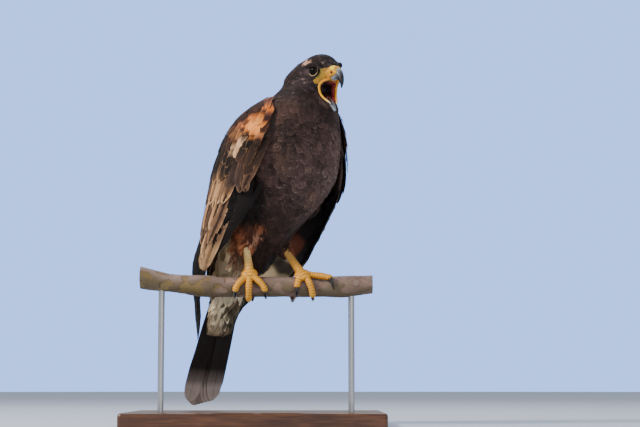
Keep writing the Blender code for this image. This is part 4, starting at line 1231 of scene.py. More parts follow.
def plumage(bird: Array, head: Array) -> tuple[Array, Array, Array]:
    """Return the markings of body feathers at places on the skin, with painted light and painted shade laid among
    them.

    Args:
        bird: Places in the bird's frame, in millimetres.
        head: The same places in the head's frame.

    Returns:
        Colour of the vane, colour of the fringe, and the fringe's share of the width.
    """
    x, y, z = bird.T
    count = len(bird)
    angle = np.degrees(np.arctan2(np.abs(y), x - CLOAK.at(z)[:, 0]))
    blot = clouds(bird, 16.0)
    tint = np.repeat(linear("#47342e")[None], count, axis=0)
    rim = np.repeat(linear("#957e76")[None], count, axis=0)
    width = np.full(count, 0.13)
    tint = shade(tint, "#5a433a", ramp(blot, 0.1, 0.8) * 0.7)
    tint = shade(tint, "#2c1f1b", ramp(blot, -0.1, -0.8) * 0.8)
    tint = shade(tint, "#2c2120", ramp(clouds(bird, 34.0, 7.0), 0.0, -0.7) * 0.5)
    low = ramp(z, 140, 80)
    tint = shade(tint, "#2f211c", low * 0.75)
    rim = shade(rim, "#5e4234", low)
    sunny = ramp(y, 2, 34) * ramp(x, 10, 40) * ramp(z, 118, 150) * ramp(z, 222, 195)
    tint = shade(tint, "#6a524a", sunny * 0.75)
    rim = shade(rim, "#c8b2a8", sunny)
    bright = ramp(angle, 40, 5) * ramp(z, 90, 150) * ramp(z, 235, 200)
    rim = shade(rim, "#9a8378", bright * 0.7)
    # Painted shade: the flank in the gap between the folded wing and the thigh is darkened to near black, on the
    # feathers and on the skin that takes these colours.
    flank = ramp(angle, 42, 58) * ramp(z, 40, 60) * ramp(z, 138, 120) * (angle < 100)
    tint = shade(tint, "#120e0d", flank)
    rim = shade(rim, "#241a16", flank)
    back = ramp(x - 8, -10, -40) * ramp(z, 60, 110)
    tint = shade(tint, "#33251d", back)
    rim = shade(rim, "#7d5539", back)
    collar = ramp(z, 212, 245)
    tint = shade(tint, "#3d302e", collar * 0.8)
    rim = shade(rim, "#573d30", collar)
    # vent and undertail
    pale = np.maximum(ramp(z, 72, 58) * ramp(x, -38, -50), ramp(z, 30, 16))
    tint = shade(tint, "#f0ddb4", pale)
    tint = shade(tint, "#a08a62", pale * ramp(blot, 0.1, 0.7))
    rim = shade(rim, "#f2e4c6", pale)
    # thighs
    for sign in (-1, 1):
        knee_z = np.clip((z - 30) / 100, 0, 1)
        cx, cy = -30 + 26 * knee_z, sign * (28 + 18 * knee_z)
        near = ramp(np.hypot(x - cx, y - cy), 36, 27) * ramp(z, 92, 74) * ramp(z, 14, 26)
        near = near * ramp(sign * (y - cy), -15, -5)
        tint = shade(tint, "#a5603c", near)
        tint = shade(tint, "#c98a62", near * ramp(blot, 0.1, 0.7) * 0.6)
        tint = shade(tint, "#40261d", near * ramp(blot, -0.1, -0.6) * 0.8)
        rim = shade(rim, "#d9a07a", near)
    # patches placed in the picture
    place = BIRD.out(bird)
    seen = Studio.seen(place) + 1.6 * np.stack([clouds(bird, 12.0, 1.0), clouds(bird, 12.0, 5.0)], axis=1)
    near = ramp(place[:, 1] / MM, 8, -6)
    for marks, facing in ((BODY_MARKS, near), (FAR_MARKS, 1.0)):
        for mark in marks:
            weight = ramp(mark.far(seen), 1.2, 0.6) * facing * mark.share
            tint = shade(tint, mark.tint, weight)
            rim = shade(rim, mark.rim, weight)
    hx, hy, hz = head.T
    crown = ramp(hz, -50, -40) * ramp(z, 232, 250)
    fleck = clouds(head, 5.0, 3.0)
    tint = shade(tint, "#241b1d", crown)
    tint = shade(tint, "#4e4043", crown * ramp(fleck, 0.15, 0.8) * 0.8)
    rim = shade(rim, "#463530", crown)
    nape = crown * ramp(hx, -12, -26) * ramp(hz, 14, 4)
    tint = shade(tint, "#161012", nape * 0.75)
    tint = shade(tint, "#3f2820", nape * ramp(fleck, 0.0, 0.5) * 0.6)
    rim = shade(rim, "#4e3830", nape)
    cheek = crown * ramp(np.hypot(hx + 3, (hz + 10) * 1.4), 15, 5) * (np.abs(hy) > 10)
    tint = shade(tint, "#3a2f34", cheek)
    rim = shade(rim, "#6a585c", cheek)
    throat = crown * ramp(hz, -34, -42) * ramp(fleck, 0.0, 0.5)
    tint = shade(tint, "#9a5546", throat * 0.8)
    brow = crown * ramp(hz, 4, 8) * ramp(hz, 18, 12) * ramp(hx, -4, 2) * (np.abs(hy) > 9)
    tint = shade(tint, "#171110", brow * 0.8)
    for sign in (-1, 1):
        patch = spot(head * (0.7, 1, 1), (1.0, sign * 21, 16.0), 6.0, 0.5)
        tint = shade(tint, "#cda28a", patch * ramp(fleck, -0.6, 0.0))
        rim = shade(rim, "#ecc9b4", patch)
        streak = 0.45 * spot(head * (1.8, 1, 0.55), (36.9, sign * 10.5, 6.2), 2.3, 0.5)
        tint = shade(tint, "#b3a096", streak)
        for along in (0.0, 3.4):
            scratch = spot(head * (0.33, 0.4, 1.8), (-0.2, sign * 9.6, (-5.4 - along) * 1.8), 1.9, 0.6)
            tint = shade(tint, "#a78d80", scratch * 0.55)
    return tint, rim, width


@dataclass
class Region:
    """A part of the body coat: where it grows and how its feathers are sized."""

    name: str
    where: Callable[[Array, Array], Array]
    spacing: Callable[[Array, Array], Array]
    length: Callable[[Array, Array], Array]
    width: Callable[[Array, Array], Array]
    rise: tuple[float, float]
    cut: Cut = CONTOUR
    columns: int = 5
    cup: float = 0.12
    fluff: float = 0.0
    seed: int = 1
    low: float = 0.0


def flow(bird: Array, head: Array) -> Array:
    """Return the way that feathers point at places on the skin, in the bird's frame.

    Args:
        bird: Places in the bird's frame.
        head: The same places in the head's frame.

    Returns:
        Directions, not yet laid flat on the skin.
    """
    x, y, z = bird.T
    down = np.stack([-0.2 - 0.35 * ramp(z, 150, 60), np.zeros(len(x)), -np.ones(len(x))], axis=1)
    tail = ramp(z, 75, 30)[:, None] * ramp(x, -25, -50)[:, None]
    down = down * (1 - tail) + np.array([-0.37, -0.03, -0.93])[None] * tail
    face = head - np.array([24.0, 0.0, -4.0])
    turn = Matrix.Rotation(math.radians(HEAD_YAW), 3, "Z") @ Matrix.Rotation(math.radians(HEAD_PITCH), 3, "Y")
    face = unit(face) @ np.array(turn).T
    weight = ramp(z, 232, 262)[:, None]
    return unit(unit(down) * (1 - weight) + face * weight)


@dataclass
class BodyCoat:
    """Contour feathers over the skin, region by region."""

    hide: Hide
    material: bpy.types.Material
    root_depth: float = 0.9

    def regions(self) -> list[Region]:
        """Return the regions from the bill back to the rump."""
        def on_head(bird: Array, head: Array) -> Array:
            """Tell which places lie on the feathered head."""
            x, y, z = head.T
            bare = in_outline(x, z, BARE_FACE) & (x > 5)
            eyes = np.minimum(np.linalg.norm(head - (EYE_PLACE[0], -EYE_PLACE[1], EYE_PLACE[2]), axis=1),
                              np.linalg.norm(head - (EYE_PLACE[0], EYE_PLACE[1], EYE_PLACE[2]), axis=1))
            mouth = Profile(Body().mouth).at(x)
            reach = (np.abs(y) / mouth[:, 1]) ** 2.4 + (np.abs(z - mouth[:, 0]) / mouth[:, 2]) ** 2.4
            inside = (reach < 1.25) & (x > 2.5)
            return (bird[:, 2] > 243) & ~bare & (eyes > EYE_RADIUS + 0.6) & ~inside \
                & ((x < 23) | ((x < 27) & (z > 3.5)))

        def face(head: Array) -> Array:
            """Return 1 at the bill, falling to 0 at the back of the head."""
            return ramp(np.linalg.norm(head - (22, 0, -4), axis=1), 58, 14)

        def thigh(bird: Array, head: Array) -> Array:
            """Tell which places lie on a thigh."""
            x, y, z = bird.T
            part = np.clip((z - 30) / 100, 0, 1)
            far = np.hypot(x + 30 - 26 * part, np.abs(y) - 27 - 18 * part)
            return (z < 128) & (z > 20) & (far < 35) & (np.abs(y) > 9 - 3 * part) & (x > -66)

        def vent(bird: Array, head: Array) -> Array:
            """Tell which places lie on the rump."""
            return (bird[:, 2] < 66) & ~thigh(bird, head) & ~Wing.covered(bird)

        def trunk(bird: Array, head: Array) -> Array:
            """Tell which places lie on the breast, belly and back."""
            z = bird[:, 2]
            return (z <= 226) & ~thigh(bird, head) & ~vent(bird, head) & ~Wing.covered(bird)

        def collar(bird: Array, head: Array) -> Array:
            """Tell which places lie on the neck."""
            return (bird[:, 2] > 222) & (bird[:, 2] <= 246)

        def even(value: float) -> Callable[[Array, Array], Array]:
            """Return a size that is the same everywhere."""
            return lambda bird, head: np.full(len(bird), value)

        return [
            Region("head_feathers", on_head, lambda b, h: 2.3 - 1.15 * face(h),
                   lambda b, h: 8.6 - 5.0 * face(h), lambda b, h: 3.8 - 2.1 * face(h),
                   (0.3, 0.8), LANCE, 3, 0.1, 0.16, 11, 0.41),
            Region("neck_feathers", collar, even(2.9), even(11.5), even(4.8), (0.35, 1.1),
                   LANCE, 3, 0.12, 0.2, 12, 0.39),
            Region("body_feathers", trunk, lambda b, h: 3.9 + 1.0 * ramp(b[:, 2], 220, 120),
                   lambda b, h: 13.5 + 6 * ramp(b[:, 2], 220, 110),
                   lambda b, h: 8.2 + 3.2 * ramp(b[:, 2], 220, 120), (0.5, 2.2),
                   CONTOUR, 5, 0.1, 0.16, 13),
            Region("thigh_feathers", thigh, even(2.8), even(13.0), even(4.2), (1.0, 3.4),
                   LANCE, 3, 0.1, 0.35, 14),
            Region("vent_feathers", vent, even(4.0), even(24.0), even(7.0), (1.0, 3.4),
                   LANCE, 3, 0.1, 0.3, 15),
        ]

    def grow(self, region: Region) -> bpy.types.Object:
        """Lay the feathers of one region.

        Args:
            region: Where they grow and their sizes.

        Returns:
            The finished piece.
        """
        coat = Coat(region.name, region.seed)
        random = coat.random
        spots = self.hide.sample(random, 1.6 if region.low > 0.4 else 0.35, region.low)
        bird, head = BIRD.back(spots), HEAD.back(spots)
        keep = region.where(bird, head)
        spots, bird, head = spots[keep], bird[keep], head[keep]
        kept = spread_out(bird, region.spacing(bird, head) * (0.85 + 0.3 * random.random(len(bird))))
        spots, bird, head = spots[kept], bird[kept], head[kept]
        count = len(spots)
        vary = 0.78 + 0.44 * random.random((2, count))
        length = region.length(bird, head) * vary[0]
        width = region.width(bird, head) * vary[1]
        shares = np.array(region.cut.shares)
        places, normals = self.hide.nearest(spots)
        stray = region.fluff * random.standard_normal((count, 1)) + 0.25 * clouds(bird, 30.0, 7.0)[:, None]
        smooth = 1.0 - 0.4 * ramp(bird[:, 2], 200, 235)
        spine, out = [], []
        base = places.copy()
        for index, share in enumerate(shares):
            place, normal = self.hide.nearest(base)
            way = BIRD.turn(flow(BIRD.back(place), HEAD.back(place)))
            way = unit(way - normal * (way * normal).sum(1, keepdims=True))
            way = unit(way + np.cross(normal, way) * stray)
            lift = -self.root_depth + (region.rise[0] + self.root_depth) * min(share * 3, 1.0) \
                + (region.rise[1] - region.rise[0]) * share ** 1.5
            rise = lift * (0.85 + 0.3 * vary[0][:, None] * share) * smooth[:, None]
            spine.append(place + normal * rise * MM)
            out.append(normal)
            if index < len(shares) - 1:
                base = place + way * ((shares[index + 1] - share) * length)[:, None] * MM
        spine, out = np.stack(spine, 1), np.stack(out, 1)
        along = unit(np.gradient(spine, axis=1))
        across = unit(np.cross(along, out))
        up = np.cross(across, along)
        edge = np.linspace(-1, 1, region.columns)
        half = width[:, None] / 2 * np.array(region.cut.widths)[None, :]
        wave = 1 + 0.10 * random.standard_normal((count, len(shares), region.columns)) * np.abs(edge)
        side = (half[:, :, None] * edge * wave)[..., None] * across[:, :, None, :]
        sink = (region.cup * half[:, :, None] * edge ** 2)[..., None] * up[:, :, None, :]
        top = spine[:, :, None, :] + (side - sink) * MM
        thick = np.clip(0.55 - 0.3 * shares, 0.2, 1)[None, :, None]
        under = spine - up * thick * MM - up * (region.cup * half * 0.3)[..., None] * MM
        tint, rim, rim_width = plumage(bird, head)
        tone = 0.72 + 0.56 * random.random((count, 1)) ** 1.3
        rims = np.column_stack([rim * tone, rim_width * (0.5 + random.random(count))])
        turn = np.arctan2(bird[:, 1], bird[:, 0] + 20) / (2 * math.pi) + 0.5
        patch = np.column_stack([turn, (bird[:, 2] + 80) / 400])
        coat.add(Vanes(top, under, tint * tone, rims, length, patch, shares))
        LOG.info("%s: %d feathers", region.name, count)
        return coat.make(self.material, "body_plumage")

    def build(self) -> None:
        """Lay every region."""
        for region in self.regions():
            self.grow(region)


# Wings

class Tract(Enum):
    """Tracts of a folded wing, from the tip's long quills up to the shoulder."""

    AXILLARIES_IN_PAINTED_SHADE = "axillaries_in_painted_shade"
    PRIMARIES = "primaries"
    SECONDARIES = "secondaries"
    GREATER = "greater_coverts"
    MEDIAN = "median_coverts"
    LESSER = "lesser_coverts"


@dataclass(frozen=True)
class Tier:
    """One row of feathers of a wing, in height and share of the way across."""

    tract: Tract
    count: int
    root: tuple[tuple[float, float], tuple[float, float]]
    tip: tuple[tuple[float, float], tuple[float, float]]
    width: float
    lifts: tuple[float, float]
    layer: float = 0.5
    tilt: float = 0.35
    jitter: float = 1.5
    cut: Cut = CONTOUR


CLOAK = Profile((
    (-66, -118, 32, 36), (-30, -97, 49, 46), (9, -72, 56, 69), (35, -55, 61, 82),
    (61, -38, 65, 85), (87, -23, 73, 87), (113, -8, 78, 89), (139, 2, 78, 90),
    (165, 9, 71, 88), (191, 17, 60, 84), (217, 28, 50, 70), (240, 43, 38, 46)))
WING_EDGES = Profile((
    (-66, 132, 138), (-30, 121, 139), (-12, 117, 141), (9, 87, 144), (35, 73, 148), (61, 65, 152),
    (87, 58, 157), (113, 56, 161), (139, 55, 165), (165, 52, 168), (191, 47, 168),
    (217, 50, 165), (234, 74, 150)))


BASE_MARKS = {
    Tract.PRIMARIES: ("#14100e", "#1d1713", 0.05, 0.0),
    # Painted shade: the axillary feathers are near black to fill the shade between the wing's front edge and the
    # thigh.
    Tract.AXILLARIES_IN_PAINTED_SHADE: ("#15100e", "#3a2e27", 0.14, 0.3),
    Tract.SECONDARIES: ("#5f4737", "#b39069", 0.3, 0.8),
    Tract.GREATER: ("#5a4233", "#b08d68", 0.3, 0.8),
    Tract.MEDIAN: ("#37271f", "#8d6748", 0.22, 0.3),
    Tract.LESSER: ("#452a20", "#80543c", 0.28, 0.3)}
MARKS = (
    Mark(216, 208, 14, 44, 14, "#a5784f", "#ecc498", 0.36, 1.0, 0.66),
    Mark(219, 186, 8, 16, 14, "#a47c56", "#e5c49b", 0.34, 0.5, 0.7),
    Mark(208, 243, 5, 30, 8, "#b98c60", "#f0cba0", 0.36, 1.0, 0.66),
    Mark(208, 258, 5, 10, 10, "#a3805a", "#e0bd92", 0.3, 0.5, 0.9),
    Mark(229, 163, 10, 17, 18, "#1d1512", "#c2986e", 0.24, 0.3, 0.85),
    Mark(236, 180, 7, 18, 14, "#40302a", "#6e5a52", 0.16, 0.3, 1.0),
    Mark(236, 194, 6, 4, 0, "#5b4436", "#a98a6e", 0.3, 0.0, 1.0),
    Mark(236, 147, 3.8, 13, 16, "#e6b88e", "#fad8b4", 0.4, 0.1, 0.9),
    Mark(234, 133, 7, 7, 20, "#96653f", "#c99a6c", 0.3, 0.3, 0.9),
    Mark(262, 147, 8, 22, 24, "#2b1e18", "#6f4a34", 0.2, 0.2, 1.0),
    Mark(247, 142, 8, 13, 20, "#191210", "#b88f60", 0.2, 0.0, 1.0),
    Mark(243, 119, 7, 10, 20, "#94583a", "#c98a5e", 0.34, 0.2, 0.9),
    Mark(264, 99, 12, 6, -16, "#8a5038", "#c98460", 0.3, 0.1, 0.8),
    Mark(268, 110, 6, 8, 10, "#7b4c38", "#b98064", 0.3, 0.1, 0.9),
    # Painted highlight: these orange marks down to the one at (260, 135), but not the dark spot, are the rufous
    # shoulder brightened where the sun strikes it.
    Mark(256, 125, 8.5, 12, 12, "#d97c34", "#f09c56", 0.4, 0.0, 1.0),
    Mark(256, 127, 4.5, 8, 12, "#f89c4c", "#ffc888", 0.4, 0.0, 1.0),
    Mark(244, 124, 3, 5, 15, "#d97e3a", "#f0a868", 0.4, 0.0, 0.9),
    Mark(267, 109, 4.5, 4, -20, "#d9762f", "#f0a05c", 0.4, 0.0, 0.9),
    Mark(265.5, 119, 3.6, 5.5, 10, "#3a2420", "#6b4638", 0.2, 0.1, 1.0),
    Mark(260, 135, 5, 4, 0, "#d28450", "#eaa872", 0.35, 0.0, 1.0),
    Mark(246.5, 112, 3.6, 32, 52, "#2e1b15", "#5f3a2a", 0.2, 0.1, 0.95),
    Mark(220.5, 151, 3.2, 30, 16, "#1f1511", "#4d3325", 0.2, 0.1, 0.95),
    # Painted shade: a near-black streak on the wing's edge in the gap above the thigh.
    Mark(230, 214, 3.4, 14, 24, "#1d1613", "#33271f", 0.2, 0.2, 1.0))


@dataclass
class Wing:
    """A folded wing: a core inside the skin and tiers of feathers over it."""

    side: Side
    tip_turn: float = 16.0
    tiers: tuple[Tier, ...] = (
        Tier(Tract.PRIMARIES, 3, ((66, 0.34), (70, 0.46)), ((-66, 0.20), (-46, 0.34)), 16,
             (-5.4, -1.4), 0.42, 3.6, 0.0, FLIGHT),
        Tier(Tract.PRIMARIES, 6, ((72, 0.54), (78, 0.86)), ((-36, 0.40), (4, 0.70)), 15,
             (-4.2, -1.0), 0.42, 1.0, 0.0, FLIGHT),
        Tier(Tract.PRIMARIES, 5, ((66, 0.12), (74, 0.50)), ((2, 0.22), (12, 0.52)), 15,
             (-5.6, -3.6), 0.1, 0.2, 1.0, FLIGHT),
        # Painted shade: these two tiers of near-black axillary feathers fill the shade under the wing's front
        # edge.
        Tier(Tract.AXILLARIES_IN_PAINTED_SHADE, 8, ((112, -0.04), (120, 0.16)), ((44, -0.06), (58, 0.12)), 13,
             (-6.0, -5.2), 0.15, 0.9, 7.0, FLIGHT),
        Tier(Tract.AXILLARIES_IN_PAINTED_SHADE, 8, ((124, 0.00), (130, 0.16)), ((74, -0.04), (84, 0.14)), 11,
             (-6.0, -5.0), 0.15, 0.9, 6.0),
        Tier(Tract.SECONDARIES, 7, ((112, 0.26), (122, 0.60)), ((14, 0.08), (50, 0.30)), 20,
             (-5.0, -2.2), 0.0, 0.9, 3.0, FLIGHT),
        Tier(Tract.SECONDARIES, 6, ((120, 0.56), (126, 0.94)), ((56, 0.44), (80, 0.94)), 20,
             (-5.0, -1.6), 0.0, 0.9, 4.0, FLIGHT),
        Tier(Tract.GREATER, 13, ((140, 0.22), (158, 0.94)), ((62, 0.20), (92, 0.94)), 17,
             (-4.4, -0.9), 0.0, 0.8, 6.0, FLIGHT),
        Tier(Tract.GREATER, 14, ((158, 0.16), (176, 0.95)), ((100, 0.23), (116, 0.95)), 15,
             (-4.2, -0.3), 0.0, 0.7, 6.0, FLIGHT),
        Tier(Tract.GREATER, 3, ((178, 0.05), (180, 0.17)), ((118, 0.05), (114, 0.15)), 17,
             (-3.6, 0.5), 0.0, 0.6, 2.0),
        Tier(Tract.MEDIAN, 15, ((178, 0.05), (190, 0.96)), ((126, 0.07), (138, 0.96)), 14,
             (-4.0, 0.3), 0.0, 0.6, 5.0),
        Tier(Tract.MEDIAN, 17, ((192, 0.04), (202, 0.97)), ((147, 0.05), (157, 0.97)), 12,
             (-3.8, 0.6), 0.0, 0.5, 4.5),
        Tier(Tract.MEDIAN, 18, ((203, 0.04), (212, 0.97)), ((164, 0.05), (172, 0.97)), 10.5,
             (-3.6, 0.8), 0.0, 0.5, 4.0),
        Tier(Tract.LESSER, 19, ((212, 0.04), (219, 0.97)), ((178, 0.05), (184, 0.97)), 9.5,
             (-3.4, 1.0), 0.0, 0.4, 3.5),
        Tier(Tract.LESSER, 19, ((219, 0.04), (225, 0.97)), ((189, 0.05), (193, 0.97)), 9,
             (-3.2, 1.1), 0.0, 0.4, 3.0),
        Tier(Tract.LESSER, 18, ((225, 0.04), (230, 0.97)), ((198, 0.05), (201, 0.97)), 8.5,
             (-3.0, 1.2), 0.0, 0.4, 3.0),
        Tier(Tract.LESSER, 16, ((231, 0.04), (234, 0.97)), ((207, 0.05), (209, 0.97)), 8.2,
             (-3.0, 1.2), 0.0, 0.4, 2.5),
        Tier(Tract.LESSER, 14, ((235, 0.04), (237, 0.97)), ((215, 0.05), (216, 0.97)), 8,
             (-3.0, 1.1), 0.0, 0.4, 2.0),
        Tier(Tract.LESSER, 11, ((239, 0.06), (240, 0.95)), ((223, 0.06), (224, 0.95)), 8,
             (-3.0, 0.9), 0.0, 0.4, 1.5),
    )

    def surface(self, height: Array, angle: Array, lift: Array) -> Array:
        """Return points over the folded wings' common outer surface.

        Args:
            height: Heights in the bird's frame.
            angle: Degrees from straight ahead.
            lift: Distance outwards.

        Returns:
            Points in metres.
        """
        middle, depth, width = np.moveaxis(CLOAK.at(height), -1, 0)
        along, across = bulge(np.radians(angle), 2.3)
        x = middle + along * (depth + lift)
        y = self.side.value * across * (width + lift)
        return BIRD.out(np.stack([x, y, height + np.zeros_like(x)], axis=-1))

    def angle(self, height: Array, share: Array) -> Array:
        """Return the angle at a share of the way from leading to dorsal edge."""
        front, back = np.moveaxis(WING_EDGES.at(height), -1, 0)
        turn = 0.0
        if self.side is Side.LEFT:
            turn = self.tip_turn * np.clip((20.0 - height) / 32.0, 0.0, 1.0)
        return front + (back - front) * share + turn

    @staticmethod
    def covered(bird: Array) -> Array:
        """Tell which places of the skin lie well under the wing's feathers."""
        x, y, z = bird.T
        middle = CLOAK.at(z)[:, 0]
        angle = np.degrees(np.arctan2(np.abs(y), x - middle))
        front, back = WING_EDGES.at(z).T
        inset = 7.0 * ramp(z, 20, 60) + 10.0 * ramp(z, 45, 70) * ramp(z, 134, 116)
        return (angle > front + inset) & (angle < back - inset) & (z > -66) & (z < 228)

    def core(self) -> bmesh.types.BMesh:
        """Make the flesh of the wing as a thick closed sheet under its feathers."""
        rows, columns = 40, 24
        heights = np.linspace(4, 236, rows)
        bm = bmesh.new()
        grid = bmesh.ops.create_grid(bm, x_segments=columns - 1, y_segments=rows - 1, size=1.0)
        height = np.repeat(heights, columns)
        first = 0.05 + 0.07 * ramp(height, 132, 114)
        across = first + (0.95 - first) * np.tile(np.linspace(0, 1, columns), rows)
        swell = np.sin(math.pi * (across - 0.02)) ** 0.5
        end = np.sin(np.pi / 2 * np.clip((height - 4) / 90, 0, 1))
        top = self.surface(height, self.angle(height, across), np.full(len(height), -4.6))
        for vert, point in zip(grid["verts"], top):
            vert.co = point
        depth = 1.6 + 7.0 * (0.25 + 0.75 * end) * swell
        low = self.surface(height, self.angle(height, across), -4.6 - depth)
        upper = list(grid["verts"])
        made = bmesh.ops.extrude_face_region(bm, geom=list(bm.faces))["geom"]
        lower = [item for item in made if isinstance(item, bmesh.types.BMVert)]
        order = {tuple(np.round(np.array(vert.co), 7)): index for index, vert in enumerate(upper)}
        for vert in lower:
            vert.co = low[order[tuple(np.round(np.array(vert.co), 7))]]
        bmesh.ops.recalc_face_normals(bm, faces=bm.faces)
        return bm

    def markings(self, tract: Tract, places: Array, angle: Array, random: np.random.Generator
                 ) -> tuple[Array, Array, Array]:
        """Choose the colours of one tier, row by row.

        Args:
            tract: The feathers' tract.
            places: Middle line of each feather on the right wing, in metres.
            angle: Degrees of those places from straight ahead.
            random: Seeded source.

        Returns:
            Vane colours, fringe colours with their share of the width, and dark streaks.
        """
        count, rows, _ = places.shape
        flat = places.reshape(-1, 3)
        chance = np.repeat(random.random(count), rows)
        base, fringe, wide, blade = BASE_MARKS[tract]
        edge = angle.reshape(-1) - 104.0 + 3 * clouds(places.reshape(-1, 3) / MM, 11.0)
        tint = np.repeat(linear(base)[None], len(flat), axis=0)
        rim = np.repeat(linear(fringe)[None], len(flat), axis=0)
        width = np.full(len(flat), wide)
        streak = np.full(len(flat), blade) * (chance < 0.75)
        seen = Studio.seen(flat)
        wander = 2.2 * np.stack([clouds(flat / MM, 14.0, 1.0), clouds(flat / MM, 14.0, 5.0)], axis=1)
        if tract not in (Tract.PRIMARIES, Tract.AXILLARIES_IN_PAINTED_SHADE):
            for mark in MARKS:
                weight = ramp(mark.far(seen + wander), 1.2, 0.7) \
                    * np.where(chance < mark.share, 1.0, 0.12)
                tint = shade(tint, mark.tint, weight)
                rim = shade(rim, mark.rim, weight)
                width = width + (mark.fringe - width) * weight
                streak = streak + (mark.streak - streak) * weight
        outer = ramp(edge, 0.0, 9.0)[:, None]
        vary = 1.0
        if tract in (Tract.SECONDARIES, Tract.GREATER):
            vary = np.repeat(0.6 + 0.65 * np.random.default_rng(count).random(count), rows)[:, None]
        tint = tint * (1 - 0.75 * outer) * vary
        rim = rim * (1 - 0.7 * outer) * (0.5 + 0.5 * vary)
        rim = np.column_stack([rim, width]).reshape(count, rows, 4)
        return tint.reshape(count, rows, 3), rim, streak.reshape(count, rows)

    def build(self, material: bpy.types.Material) -> bpy.types.Object:
        """Lay all tiers of the wing.

        Args:
            material: Feather material.

        Returns:
            The finished piece.
        """
        name = f"wing_{self.side.name.lower()}"
        coat = Coat(f"{name}_feathers", 40 + self.side.value)
        for tier in self.tiers:
            coat.add(self.row(tier, coat.random, Wing(Side.RIGHT)))
        return coat.make(material, "wing_plumage", (name,))

    def row(self, tier: Tier, random: np.random.Generator, right: "Wing") -> Vanes:
        """Lay one tier.

        Args:
            tier: Its count, places and sizes.
            random: Seeded source.
            right: The right wing, whose markings both wings share.

        Returns:
            The tier's feathers.
        """
        count = tier.count
        part = np.linspace(0, 1, count)
        root = np.array(tier.root[0])[None] * (1 - part[:, None]) + np.array(tier.root[1])[None] * part[:, None]
        tip = np.array(tier.tip[0])[None] * (1 - part[:, None]) + np.array(tier.tip[1])[None] * part[:, None]
        tip[:, 0] += tier.jitter * random.standard_normal(count)
        root[:, 0] += 0.7 * tier.jitter * random.standard_normal(count)
        sway = 0.25 / count * random.standard_normal((2, count)) * (tier.jitter > 0)
        root[:, 1], tip[:, 1] = root[:, 1] + sway[0], np.clip(tip[:, 1] + sway[1], 0.03, 0.98)
        shares = np.array(tier.cut.shares)
        columns = 7
        place = root[:, None, :] + (tip - root)[:, None, :] * shares[None, :, None]
        height, across = place[..., 0], place[..., 1]
        angle = self.angle(height, across)
        lift = tier.lifts[1] - (tier.lifts[1] - tier.lifts[0]) * (1 - shares) ** 2
        lift = lift[None, :] + tier.layer * np.arange(count)[:, None] + 0.6 * (random.random((count, 1)) - 0.5)
        degree = np.linalg.norm(self.surface(height, angle + 1, 0 * height)
                                - self.surface(height, angle, 0 * height), axis=-1) / MM
        width = tier.width * (0.85 + 0.4 * random.random((count, 1)))
        half = width / 2 * np.array(tier.cut.widths)[None, :]
        spread = half / degree
        edge = np.linspace(-1, 1, columns)
        wave = 1 + 0.05 * random.standard_normal((count, len(shares), columns)) * np.abs(edge) ** 3
        angles = angle[..., None] + spread[..., None] * edge * wave
        heights = height[..., None] + 0.35 * random.standard_normal((count, len(shares), columns)) \
            * np.abs(edge) ** 2 * shares[None, :, None]
        roll = tier.tilt * edge[None, None, :] * np.ones_like(heights) * (half / half.max())[..., None]
        lifts = lift[..., None] + roll - 0.04 * half[..., None] * edge ** 2
        top = self.surface(heights, angles, lifts)
        under = self.surface(height, angle, lift - np.clip(0.75 - 0.4 * shares, 0.3, 1))
        if self.side is Side.LEFT:
            top = top[:, :, ::-1]
        middle = right.surface(height, right.angle(height, across), lift)
        tint, rim, streak = self.markings(tier.tract, middle, angle, random)
        if self.side is Side.LEFT:
            lead = 0.8 * ramp(angle, 88, 68)
            tint = shade(tint.reshape(-1, 3), "#3a2a25", lead.ravel()).reshape(tint.shape)
            rim[..., :3] = shade(rim[..., :3].reshape(-1, 3), "#54403a", lead.ravel()).reshape(tint.shape)
        tone = 0.8 + 0.4 * random.random((count, 1, 1))
        length = np.abs(tip[:, 0] - root[:, 0])
        patch = np.column_stack([0.1 + 0.8 * root[:, 1], (root[:, 0] + 80) / 400])
        rim[..., :3] *= tone
        return Vanes(top, under, tint * tone, rim, length, patch, shares, streak)


# Tail

